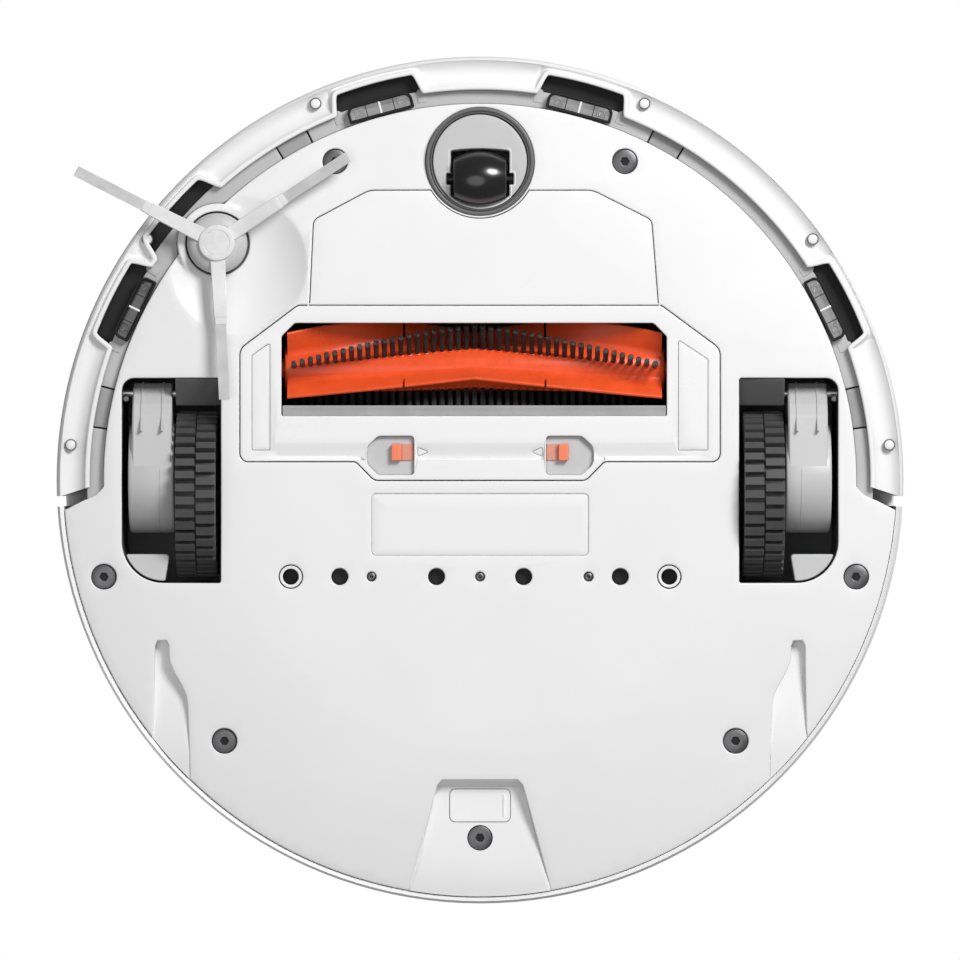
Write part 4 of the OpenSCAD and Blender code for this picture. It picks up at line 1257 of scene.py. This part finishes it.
def ring_sector(inner_r, outer_r, start, end, level, edge=0.3, wall=1.6, corner=0.6):
    """Moulded piece of a flat ring, between two angles from the front."""
    count = max(4, int(abs(end - start) / 0.8))
    outside, inside_arc = [], []
    for k in range(count + 1):
        angle = start + (end - start) * k / count
        beside = round_collar(angle)
        outside.append(polar(max(outer_r, 161.7) if abs(angle - HUB_ANGLE) < 7.5 else outer_r, angle))
        inside_arc.insert(0, polar(max(inner_r, beside), angle))
    loop = rounded(outside + inside_arc, [corner] + [0] * (count - 1) + [corner] * 2
                   + [0] * (count - 1) + [corner], 4)
    return moulded(loop, [], lambda x, y: level, edge, wall, 0, 3)


def build_frame_band():
    """Grey band between the base plate and the bumper, with slightly recessed spans painted a darker
    grey as their shade, and sensor tabs.
    """
    level = LIP_Z + 3.7
    near, far = FRONT_R + 0.25, LIP_R + 1.2
    recess_spans = [(26.4, 31.5), (76.1, 82.2)]
    parts, darker = [], []
    line = 0.12
    cuts = sorted([s * v for pair in recess_spans for v in pair for s in (-1, 1)])
    marks = [-93.0] + cuts + [93.0]
    for a0, a1 in zip(marks, marks[1:]):
        middle_angle = abs(a0 + a1) / 2
        in_recess = any(lo < middle_angle < hi for lo, hi in recess_spans) and a1 - a0 < 10
        if in_recess:
            # Painted shade: a recessed span gets a darker grey for the shade of its recess.
            darker.append(ring_sector(near, far - 0.2, a0 + line, a1 - line, level + 0.3))
        else:
            parts.append(ring_sector(near, far, a0 + line, a1 - line, level))
    for a in SENSOR_ANGLES:
        for s in (-1, 1):
            for side in (-1, 1):
                middle_angle = s * a + side * 6.35
                outline = [(-1.9, 155.5), (1.9, 155.5), (1.9, 161.2), (-1.9, 161.2)]
                loop = turned_outline(rounded(outline, [0.3, 0.3, 1.7, 1.7], 6), middle_angle)
                parts.append(moulded(loop, [], lambda x, y: level - 0.3, 0.25, 1.8, 0, 3))
    piece("frame_band", *joined(*parts), "chassis", "grey_frame", ("front_frame",), finish="band_grey")
    piece("frame_shaded_recesses", *joined(*darker), "chassis", "grey_frame", finish="insert_grey")
    shelf = turned(
        [(LIP_R + 8.6, LIP_Z + 6.3), (LIP_R - 0.4, LIP_Z + 6.0)], (0, 0), 4.0, 176.0, 2.0,
    )
    wall = turned(
        [(LIP_R - 0.4, LIP_Z + 6.0), (FRONT_R - 1.2, LIP_Z + 6.0), (FRONT_R - 1.2, DECK_Z - 6),
         (FRONT_R - 2.4, DECK_Z - 6), (FRONT_R - 2.4, LIP_Z + 4.0)],
        (0, 0), 90 - SHOULDER + 0.5, 90 + SHOULDER - 0.5, 2.0,
    )
    piece("frame_wall", *joined(shelf, wall), "chassis", "dark_plastic")


def turned_outline(loop, degrees):
    """Outline given as (along the rim, radius), placed at an angle from the front."""
    a = math.radians(degrees)
    made = [(u * math.cos(a) + v * math.sin(a), -u * math.sin(a) + v * math.cos(a)) for u, v in loop]
    return counter_clockwise(made)


def box_outline(u0, v0, u1, v1, radii=0.3, steps=4):
    return rounded([(u0, v0), (u1, v0), (u1, v1), (u0, v1)], radii, steps)


def build_cliff_sensors():
    """Black bezels with two ribs, their panes and dotted tiles, and a bar in the middle."""
    bezels, windows, bars = [], [], []
    front = low("cliff_sensor_housings", 2)
    for a in SENSOR_ANGLES:
        for s in (-1, 1):
            place = s * a
            near = FRONT_R + 0.35

            def box(u0, v0, u1, v1, radii, steps=4):
                return turned_outline(box_outline(u0, near + v0, u1, near + v1, radii, steps), place)

            frame_loop = box(-13.6, 0.0, 13.6, 6.9, [0.8, 0.8, 3, 3])
            hole = box(-12.7, 0.9, 12.7, 6.0, [0.5, 0.5, 2.3, 2.3])
            bezels.append(moulded(
                frame_loop, [hole], lambda x, y: front + 0.2, 0.25, 5.0, 0, 3, -1, [5.0, 1.2]
            ))
            for u0, u1 in ((-5.9, -5.6), (5.6, 5.9)):
                loop = box(u0, 1.0, u1, 5.9, 0.1, 2)
                bezels.append(moulded(loop, [], lambda x, y: front + 0.75, 0.08, 0.4, 0, 2))
            pane = box(-12.6, 1.0, 12.6, 5.9, [0.5, 0.5, 2.2, 2.2])
            windows.append((place, moulded(pane, [], lambda x, y: front + 0.95, 0.2, 0.6, 0, 2)))
            for u in (-9.0, 9.0):
                tile = box(u - 1.8, 1.8, u + 1.8, 5.2, 0.4, 3)
                dot = turned_outline(circle((u, near + 3.5), 0.9, 30), place)
                windows.append((place, moulded(
                    tile, [dot[::-1]], lambda x, y: front + 0.7, 0.15, 0.4, 0, 2, -1, [0.4, 0.3]
                )))
            bar = box(-0.4, 1.0, 0.4, 5.9, 0.2, 2)
            bars.append(moulded(bar, [], lambda x, y: front + 0.6, 0.15, 0.5, 0, 2))
    piece("sensor_bezels", *joined(*bezels), "chassis", "dark_plastic", ("cliff_sensor_housings",))
    grey = [made for place, made in windows if place < 50]
    black = [made for place, made in windows if place > 50]
    piece("sensor_panes", *joined(*grey), "chassis", "sensor_window", ("cliff_sensor_windows",))
    piece("sensor_pane_dark", *joined(*black), "chassis", "sensor_window", finish="sensor_dark")
    piece("sensor_bars", *joined(*bars), "chassis", "white_cover")


# ---- caster ---------------------------------------------------------------------------------------

def caster_opening():
    """Opening of the swivel disc, relative to the caster's middle, with notches for the axle."""
    half, front, bound = 11.9, 4.4, 18.3
    trail = middle("caster_wheel", 1) - CASTER[1]
    notch_half, notch_x = 2.3, 13.6
    meet = math.degrees(math.asin(half / bound))
    crown = 0.8
    front_edge = [
        (half - 2 * half * k / 12, front + crown * (1 - (1 - k / 6) ** 2)) for k in range(13)
    ]
    rear = arc((0, 0), bound, 270 - meet, 270 + meet, 6)
    left = [(-half, trail + notch_half), (-notch_x, trail + notch_half), (-notch_x, trail - notch_half),
            (-half, trail - notch_half)]
    right = [(-x, y) for x, y in reversed(left)]
    loop = front_edge + left + rear + right
    radii = [0.8] + [0] * 11 + [0.8] + [0.1, 0.5, 0.5, 0.1] + [0.6] + [0] * (len(rear) - 2) + [0.6]
    radii += [0.1, 0.5, 0.5, 0.1]
    made = rounded(loop, radii, 3)
    return [(x + CASTER[0], y + CASTER[1]) for x, y in made]


def build_caster():
    z = low("caster_socket", 2)
    ring = turned(
        [(21.95, z + 4.0), (21.95, z + 0.5), (21.75, z + 0.12), (21.4, z), (20.75, z), (20.55, z + 0.15),
         (20.5, z + 0.9), (20.2, z + 0.95), (20.15, z + 0.3), (19.95, z + 0.15), (19.7, z + 0.25),
         (19.5, z + 0.8), (19.5, z + 22.0)],
        CASTER, step=3,
    )
    piece("caster_ring", *ring, "chassis", "mid_grey_plastic", ("caster_socket",))
    level = z + 0.6
    opening = caster_opening()
    chamfer = 1.0
    disc = moulded(
        circle(CASTER, 19.15, 3), [offset_loop(opening, -0.02)],
        lambda x, y: level + 0.35 * (math.dist((x, y), CASTER) / 19.15) ** 2, 0.5, 14.0, 2.5, 4, -1,
        [8.0, 14.0],
    )
    piece("caster_disc", *disc, "caster_fork", "light_grey_plastic", ("caster_swivel",))
    rings = []
    steps = (
        (chamfer * 0.98, -0.12), (chamfer * 0.7, -0.2), (0.25, 0.25), (0.0, 0.9), (-0.1, 9.0),
    )
    for grow, up in steps:
        line = offset_loop(opening, -grow)
        rings.append([(x, y, level + up + 0.3) for x, y in line])
    orient(piece("caster_trim", *swept(rings), "caster_fork", "white_plastic"))
    wheel_y, wheel_z = middle("caster_wheel", 1), middle("caster_wheel", 2)
    half = (high("caster_wheel", 0) - low("caster_wheel", 0)) / 2
    big, small = wheel_z, wheel_z - 2.6
    profile = [(-half, 2.1), (-half, small - 0.5), (-half + 0.15, small - 0.15), (-half + 0.5, small)]
    for k in range(1, 24):
        x = -half + 0.5 + (2 * half - 1.0) * k / 24
        profile.append((x, big - (big - small) * (abs(x) / (half - 0.5)) ** 2))
    profile += [(half - 0.5, small), (half - 0.15, small - 0.15), (half, small - 0.5), (half, 2.1)]
    barrel = turned_x(profile, (wheel_y, wheel_z), 4)
    piece("caster_barrel", *barrel, "caster_roller", "dark_plastic", ("caster_wheel",),
          finish="gloss_black")
    reach = high("caster_axle", 0)
    pin = turned_x(
        [(-reach, 0.02), (-reach, 1.7), (-reach + 0.3, 1.98), (reach - 0.3, 1.98), (reach, 1.7),
         (reach, 0.02)],
        (wheel_y, wheel_z), 12,
    )
    piece("caster_pin", *pin, body_of("caster_axle"), "steel", ("caster_axle",), finish="black_steel")


def body_of(node):
    """Name of the body that holds a CAD node."""
    bodies = frame["record"]["behaviour"]["bodies"]
    return next(name for name, nodes in bodies.items() if node in nodes)


# ---- side brush -----------------------------------------------------------------------------------

ARM_START = 27.0
ARMS = 3


def band_ring(reach, z, width, thick, angle, tilt=0.0, corner=0.35, sideways=0.0):
    """Rounded cross-section of a strip that leaves the hub at an angle, facing along it."""
    a = math.radians(angle)
    along = Vector((math.cos(a), math.sin(a), 0))
    across = Vector((-math.sin(a), math.cos(a), 0))
    up = (Vector((0, 0, 1)) * math.cos(tilt) - along * math.sin(tilt))
    centre = Vector((HUB[0], HUB[1], 0)) + along * reach + across * sideways + Vector((0, 0, z))
    half_w, half_t = width / 2, thick / 2
    c = min(corner, half_t * 0.9)
    shape = [
        (-half_w + c, -half_t), (half_w - c, -half_t), (half_w, -half_t + c), (half_w, half_t - c),
        (half_w - c, half_t), (-half_w + c, half_t), (-half_w, half_t - c), (-half_w, -half_t + c),
    ]
    return [tuple(centre + across * u + up * v) for u, v in shape]


STRANDS = 14


def strand_ring(reach, angle, thick, tips=None):
    """Cross-section of a strip of strands: ribbed on both faces, its tips set back unevenly."""
    a = math.radians(angle)
    along = Vector((math.cos(a), math.sin(a), 0))
    across = Vector((-math.sin(a), math.cos(a), 0))
    middle_point = Vector((*HUB, arm_height(reach)))
    width, groove = 4.4, 0.05
    ring = []
    for side in (-1, 1):
        for k in range(2 * STRANDS + 1):
            u = side * (k / (2 * STRANDS) - 0.5) * width
            v = side * (thick / 2 - (groove if k % 2 == 0 else 0))
            back = tips[(k if side < 0 else 2 * STRANDS - k) // 2] if tips else 0.0
            ring.append(tuple(middle_point + along * (reach - back) + across * u + Vector((0, 0, v))))
    return ring


def arm_height(reach):
    """Middle level of an arm and its bundle at a distance from the hub's axis."""
    rows = [(7, 7.2), (13, 7.1), (20, 5.9), (30, 4.1), (42, 2.8), (64, 1.6)]
    for (r0, z0), (r1, z1) in zip(rows, rows[1:]):
        if reach <= r1:
            return z0 + (z1 - z0) * clamped((reach - r0) / (r1 - r0))
    return rows[-1][1]


def build_side_brush():
    z = low("side_brush_hub", 2)
    cap = turned(
        [(0.02, z + 0.15), (4.85, z + 0.15), (5.0, z + 0.3), (5.2, z + 0.3), (5.35, z + 0.08),
         (6.7, z + 0.02), (7.15, z + 0.2), (7.35, z + 0.7), (7.4, z + 2.2)],
        HUB, step=4,
    )
    piece("side_brush_cap", *cap, "side_brush", "arm_rubber")
    body = turned(
        [(7.2, z + 1.6), (8.4, z + 1.75), (10.4, z + 2.5), (11.6, z + 3.6), (12.2, z + 5.0),
         (12.25, z + 9.0), (3.1, z + 9.2), (3.05, z + 14.8)],
        HUB, step=4,
    )
    piece("side_brush_body", *body, "side_brush", "light_grey_plastic", ("side_brush_hub",))
    random.seed(11)
    arms, strands = [], []
    for i in range(ARMS):
        angle = ARM_START + 360 / ARMS * i
        stations = [7.0, 9.0, 11.5, 14.0, 17.0, 20.0, 23.0, 26.0, 28.5, 30.0, 30.6]
        rings = []
        for k, reach in enumerate(stations):
            width = 6.2 - 0.9 * k / (len(stations) - 1)
            thick = 1.9 if k < len(stations) - 1 else 1.5
            ahead = arm_height(reach + 1) - arm_height(reach - 1)
            rings.append(band_ring(reach, arm_height(reach), width, thick, angle, math.atan2(ahead, 2)))
        arms.append(swept(rings, caps=True))
        sleeve = []
        for reach in (30.0, 31.2, 33.0, 33.3):
            sleeve.append(band_ring(reach, arm_height(reach), 4.9 if reach < 33.2 else 4.6,
                                    1.35 if reach < 33.2 else 1.1, angle, -0.1))
        arms.append(swept(sleeve, caps=True))
        tips = [0.35 * random.random() for _ in range(STRANDS + 1)]
        path = [strand_ring(29.0 + 34.6 * j / 7, angle, 0.9) for j in range(8)]
        path.append(strand_ring(63.9, angle, 0.7, tips))
        strands.append(swept(path, caps=True))
    verts, faces = joined(*arms)
    piece("side_brush_arm_rubber", verts, [f[::-1] for f in faces], "side_brush", "arm_rubber",
          ("side_brush_arms",))
    verts, faces = joined(*strands)
    piece("side_brush_strands", verts, [f[::-1] for f in faces], "side_brush", "side_bristle",
          ("side_brush_bristles",), smooth=False)
    mouth = plate_level(HUB[0], HUB[1] - 14) + 0.3
    well = turned(
        [(13.02, mouth), (13.0, z + 10.5), (12.0, z + 11.2), (3.6, z + 11.2)],
        HUB, step=6,
    )
    piece("side_brush_well", *well, "chassis", "mid_grey_plastic")


build_bumper()
build_frame_band()
build_cliff_sensors()
build_caster()
build_side_brush()


# ---- main brush -----------------------------------------------------------------------------------

BRUSH_YZ = (middle("main_brush_core", 1), middle("main_brush_core", 2))
BRUSH_X = (low("main_brush_blades", 0), high("main_brush_blades", 0))
SLEEVE_R = 9.0
BLADE_R = 19.3
TUFT_R = 20.8
BLADE_ROWS = [(-13, 27), (132, 86), (210, 40)]
TUFT_ROWS = [(60, 58), (180, 50), (300, 50)]


def row_angle(x, first, lead):
    """Direction of a row at x: 0 points down and 90 points forward; its ends lead in a V."""
    centre = (BRUSH_X[0] + BRUSH_X[1]) / 2
    half = (BRUSH_X[1] - BRUSH_X[0]) / 2
    return math.radians(first - lead * abs(x - centre) / half)


def brush_point(x, radius, angle, aside=0.0):
    """Point at a radius from the brush's axis, moved aside along the circumference."""
    return (
        x,
        BRUSH_YZ[0] + radius * math.sin(angle) + aside * math.cos(angle),
        BRUSH_YZ[1] - radius * math.cos(angle) + aside * math.sin(angle),
    )


def brush_ring(x, radius, size, angle, count, aside=0.0):
    """Circle of points of a given size at a radius from the brush's axis."""
    turns = [TAU * k / count for k in range(count)]
    return [
        brush_point(x + size * math.cos(a), radius, angle, aside + size * math.sin(a)) for a in turns
    ]


def blade(first, lead):
    """Rubber fin in a V, with a rounded tip, a thick root and a slit in each half."""
    outline = [
        (SLEEVE_R - 0.6, 2.6), (SLEEVE_R + 0.7, 1.5), (SLEEVE_R + 2.5, 1.15), (BLADE_R - 0.5, 0.75),
        (BLADE_R - 0.15, 0.55), (BLADE_R, 0.25),
    ]
    shape = outline + [(r, -w) for r, w in reversed(outline)]
    slit = 28.8
    centre = (BRUSH_X[0] + BRUSH_X[1]) / 2
    parts = []
    marks = [BRUSH_X[0] + 1.2, centre - slit - 0.45, centre - slit + 0.45, centre,
             centre + slit - 0.45, centre + slit + 0.45, BRUSH_X[1] - 1.2]
    for a, b in zip(marks, marks[1:]):
        count = max(2, int((b - a) / 2.5))
        shallow = b - a < 1.2
        rings = []
        for k in range(count + 1):
            x = a + (b - a) * k / count
            angle = row_angle(x, first, lead)
            rings.append([
                brush_point(x, min(r, SLEEVE_R + 4.0) if shallow else r, angle, w) for r, w in shape
            ])
        parts.append(swept(rings, caps=True))
    return joined(*parts)


def tuft(x, angle, seed):
    """Round bundle of nylon strands that stands out of the sleeve."""
    chance = random.Random(seed)
    parts = []
    places = [(0.0, 0.0)] + [(0.45 * math.cos(k), 0.45 * math.sin(k)) for k in range(6)]
    places += [(0.88 * math.cos(k * 0.52), 0.88 * math.sin(k * 0.52)) for k in range(12)]
    for along, aside in places:
        lean = 1.0 + 0.22 * chance.random()
        length = TUFT_R - 0.6 * chance.random()
        rings = []
        for radius, size in ((SLEEVE_R - 0.3, 0.25), (15.0, 0.24), (length, 0.19)):
            spread = 0.8 + (lean - 0.8) * (radius - SLEEVE_R) / (TUFT_R - SLEEVE_R)
            rings.append(brush_ring(x + along * spread, radius, size, angle, 5, aside * spread))
        parts.append(swept(rings, caps=True))
    return joined(*parts)


def build_main_brush():
    x0, x1 = BRUSH_X
    sleeve = turned_x(
        [(x0, 5.2), (x0, SLEEVE_R - 0.8), (x0 + 0.4, SLEEVE_R - 0.2), (x0 + 1.0, SLEEVE_R),
         (x1 - 1.0, SLEEVE_R), (x1 - 0.4, SLEEVE_R - 0.2), (x1, SLEEVE_R - 0.8), (x1, 5.2)],
        BRUSH_YZ, 5,
    )
    fins = [blade(*row) for row in BLADE_ROWS]
    rubber_mesh = joined(sleeve, *fins)
    orient(piece("brush_rubber", *rubber_mesh, "main_brush", "roller_rubber", ("main_brush_blades",)))
    tufts, tips, beds = [], [], []
    tip_profile = (
        (TUFT_R - 1.4, 0.95), (TUFT_R - 0.8, 1.05), (TUFT_R - 0.62, 0.6), (TUFT_R - 0.6, 0.05),
    )
    bed_profile = ((SLEEVE_R - 0.8, 1.6), (SLEEVE_R + 0.35, 1.45), (SLEEVE_R + 0.5, 1.2))
    count = 45
    for row, (first, lead) in enumerate(TUFT_ROWS):
        for k in range(count):
            x = x0 + 2.4 + (x1 - x0 - 4.8) * (k + 0.5) / count
            angle = row_angle(x, first, lead)
            tufts.append(tuft(x, angle, row * 100 + k))
            # Painted highlight: caps on the tuft ends in a lighter grey than the strands.
            tips.append(swept([brush_ring(x, radius, size, angle, 10) for radius, size in tip_profile]))
            beds.append(swept([brush_ring(x, radius, size, angle, 8) for radius, size in bed_profile]))
    piece("brush_tufts", *joined(*tufts), "main_brush", "bristle_black", ("main_brush_bristles",),
          smooth=False)
    piece("brush_tuft_end_highlights", *joined(*tips), "main_brush", "bristle_black", finish="tuft_tip")
    piece("brush_tuft_beds", *joined(*beds), "main_brush", "roller_rubber")


# ---- drive wheels ---------------------------------------------------------------------------------

LUGS = 40
DRUM_R = 22.4


def lug(corners, top_inset, height_dir):
    """Lug on four base corners, rising along height_dir, its top drawn in by top_inset."""
    base = [Vector(c) for c in corners]
    centre = Vector((0, 0, 0))
    for c in base:
        centre += c / 4
    rise = Vector(height_dir)
    top = [c + rise for c in base]
    rings = [
        [tuple(v) for v in base],
        [tuple(v - rise * 0.18) for v in top],
        [tuple(v + (centre + rise - v).normalized() * top_inset) for v in top],
    ]
    return swept(rings, caps=True)


def build_wheel(side, name):
    node = name + "_tyre"
    body = name + "_wheel"
    yz = (middle(node, 1), middle(node, 2))
    radius = yz[1]
    x_in = min(abs(low(node, 0)), abs(high(node, 0)))
    width = high(node, 0) - low(node, 0)
    band_r = radius - 2.4
    profile = [
        (x_in + 0.1, band_r - 4.5), (x_in + 0.1, band_r - 1.0), (x_in + 0.5, band_r - 0.25),
        (x_in + 1.2, band_r), (x_in + width - 1.2, band_r), (x_in + width - 0.5, band_r - 0.25),
        (x_in + width - 0.1, band_r - 1.0), (x_in + width - 0.1, band_r - 4.5),
    ]
    band = turned_x([(side * x, r) for x, r in profile], yz, 4)
    lugs = []
    column = width / 2 - 0.35
    pitch = TAU / LUGS
    for col in (0, 1):
        x0 = x_in + 0.15 + col * (column + 0.4)
        x1 = x0 + column
        for k in range(LUGS):
            a = (k + col / 2) * pitch
            half_angle = pitch * 0.33
            corners = []
            for x, turn in ((x0, -1), (x1, -1), (x1, 1), (x0, 1)):
                t = a + turn * half_angle
                r = band_r - 0.4
                corners.append((side * x, yz[0] + r * math.sin(t), yz[1] - r * math.cos(t)))
            rise = radius - 0.05 - (band_r - 0.4) * math.cos(half_angle)
            out = (0, rise * math.sin(a), -rise * math.cos(a))
            lugs.append(lug(corners, 0.25, out))
    orient(piece(name + "_tyre_band", *band, body, "tyre_rubber", (node,)))
    tread = joined(*lugs)
    # Painted highlight: the lugs' rubber is lighter than the band between them, for the light their
    # faces catch.
    orient(piece(name + "_tread", *tread, body, "tyre_rubber", angle=30, finish="lug_rubber"))
    hub_x = x_in + 0.7
    disc_profile = [
        (3.0, band_r - 4.7), (0.0, band_r - 4.7), (-0.1, band_r - 6.4), (1.4, band_r - 7.0),
        (2.0, band_r - 8.5), (2.2, 8.0), (0.6, 7.2), (0.2, 6.6), (0.2, 3.1),
    ]
    disc = turned_x([(side * (hub_x + x), r) for x, r in disc_profile], yz, 5)
    spokes = []
    for k in range(6):
        a = TAU * k / 6
        rings = []
        for r in (7.0, 14.0, band_r - 6.2):
            half = 1.3
            cx, cy = math.sin(a) * r, -math.cos(a) * r
            nx, ny = math.cos(a) * half, math.sin(a) * half
            rings.append([
                (side * (hub_x + 2.6), yz[0] + cx + nx, yz[1] + cy + ny),
                (side * (hub_x + 0.7), yz[0] + cx + nx * 0.7, yz[1] + cy + ny * 0.7),
                (side * (hub_x + 0.7), yz[0] + cx - nx * 0.7, yz[1] + cy - ny * 0.7),
                (side * (hub_x + 2.6), yz[0] + cx - nx, yz[1] + cy - ny),
            ])
        spokes.append(swept(rings, caps=True))
    orient(piece(name + "_wheel_disc", *joined(disc, *spokes), body, "mid_grey_plastic"))


def build_wheel_well(side, name):
    """Sloping wall ahead of the tyre, corner piece behind the drum, and a small post."""
    def place(points):
        return counter_clockwise(on_side(points, side))

    wall = place(rounded([(105.5, 30.4), (124.0, 30.4), (124.0, 41.2), (105.5, 41.2)], 0.5, 3))
    made = moulded(
        wall, [], lambda x, y: PLATE_Z + 2.0 + 9.0 * (41.2 - y) / 10.8, 0.3, 3.0, 2.0, 3
    )
    piece(name + "_well_slope", *made, "chassis", "mid_grey_plastic")
    bend = 16.2
    centre = (WELL_OUT - 17.0, WELL_REAR + 17.0)
    last = math.degrees(math.asin((-30.2 - centre[1]) / bend))
    edge = arc(centre, bend, 268, 360 + last, 6)
    points = [(126.4, -30.2)] + [(max(126.6, x), y) for x, y in edge]
    corner = place(rounded(points, [1.2, 0.8] + [0] * (len(edge) - 2) + [0.6], 4))
    made = moulded(corner, [], lambda x, y: PLATE_Z + 5.2 + 0.05 * (y + 41), 0.6, 6.0, 2.0, 4)
    piece(name + "_well_corner", *made, "chassis", "light_grey_plastic")
    post = place(circle((144.2, 33.0), 1.1, 30))
    made = moulded(post, [], lambda x, y: PLATE_Z + 6.0, 0.3, 8.0, 0, 3)
    piece(name + "_well_post", *made, "chassis", "mid_grey_plastic")


def build_gearbox(side, name):
    """Gear housing: a turned drum with ribs, and its arm forward to the pivot."""
    node = name + "_gearbox"
    x0 = min(abs(low(node, 0)), abs(high(node, 0)))
    x1 = max(abs(low(node, 0)), abs(high(node, 0)))
    yz = (low(node, 1) + DRUM_R, 31.0)
    drum = turned_x([(side * x, r) for x, r in [
        (x0, 4.0), (x0, 21.6), (x0 + 0.3, 22.1), (x0 + 0.9, DRUM_R), (x0 + 5.6, DRUM_R),
        (x0 + 5.75, 22.15), (x0 + 6.0, 22.15), (x0 + 6.15, DRUM_R), (x1 - 0.9, DRUM_R),
        (x1 - 0.3, 22.1), (x1, 21.6), (x1, 4.0),
    ]], yz, 3)
    outline = [(4, 8.9), (26, 12), (31, 15.0), (37.5, 21.4), (40.1, 26), (37, 30.8), (18, 46), (4, 53)]
    loop = rounded(outline, [0, 3, 3, 3, 3, 3, 4, 0], 5)
    rings = []
    for x, inset in ((x0 + 1.0, 0.6), (x0 + 1.6, 0.0), (x1 - 2.1, 0.0), (x1 - 1.5, 0.6)):
        line = offset_loop(loop, inset)
        rings.append([(side * x, y, z) for y, z in line])
    arm = swept(rings, caps=True)
    rib_rows = []
    for k in range(2):
        x = x0 + 4.2 + 8.4 * k
        line = offset_loop(loop, -0.45)
        line = [(max(y, 20.0), z) for y, z in line]
        rib_rows.append(swept(
            [[(side * (x + d), y, z) for y, z in line] for d in (0.0, 0.9)], caps=True
        ))
    case = joined(drum, arm, *rib_rows)
    orient(piece(name + "_gear_case", *case, name + "_arm", "light_grey_plastic", (node,)))


build_main_brush()
for wheel_side, wheel_name in SIDES:
    build_wheel(wheel_side, wheel_name)
    build_wheel_well(wheel_side, wheel_name)
    build_gearbox(wheel_side, wheel_name)


# ---- CAD nodes that stay, with their materials ----------------------------------------------------

def dress(frame):
    """Gives each CAD node the material of its slot."""
    slot_of = {row["node"]: row["material_slot"] for row in frame["record"]["subparts"]}
    for name, thing in frame["nodes"].items():
        made = material(slot_of[name])
        if not thing.material_slots:
            thing.data.materials.append(made)
        for place in thing.material_slots:
            place.material = made


def soften(frame):
    """Small rounds on the moulded and turned parts of the model that stay visible."""
    rounds = {
        "top_cover": 0.35, "lid": 0.3, "power_button": 0.35, "home_button": 0.35, "turret_housing": 0.3,
        "turret_cap": 0.5, "exhaust_grille": 0.2, "charge_contacts": 0.25, "rear_skirt": 0.3,
        "dust_bin": 0.4, "battery_pack": 0.6, "blower_housing": 0.4, "brush_motor": 0.4,
        "side_brush_motor": 0.4,
    }
    for name, width in rounds.items():
        add_bevel(frame["nodes"][name], width, 2)


def build_top_trim():
    """Trim ring round the turret and two raised rings on its cap."""
    centre = (middle("turret_housing", 0), middle("turret_housing", 1))
    foot = (high("turret_housing", 0) - low("turret_housing", 0)) / 2
    trim = turned(
        [(foot + 0.3, DECK_Z - 0.1), (foot + 0.35, DECK_Z + 0.5), (foot + 0.7, DECK_Z + 0.75),
         (foot + 1.9, DECK_Z + 0.6), (foot + 2.3, DECK_Z + 0.2), (foot + 2.35, DECK_Z - 0.1)],
        centre, step=3,
    )
    piece("turret_trim", *trim, "chassis", "mid_grey_plastic")
    top = high("turret_cap", 2)
    reach = (high("turret_cap", 0) - low("turret_cap", 0)) / 2
    rings = [
        turned(
            [(r + 0.5, top - 0.3), (r + 0.35, top - 0.02), (r - 0.35, top - 0.02), (r - 0.5, top - 0.3)],
            centre, step=3,
        )
        for r in (reach * 0.62, reach * 0.84)
    ]
    piece("turret_cap_rings", *joined(*rings), body_of("turret_cap"), "cap_metal")


dress(frame)
soften(frame)
build_top_trim()
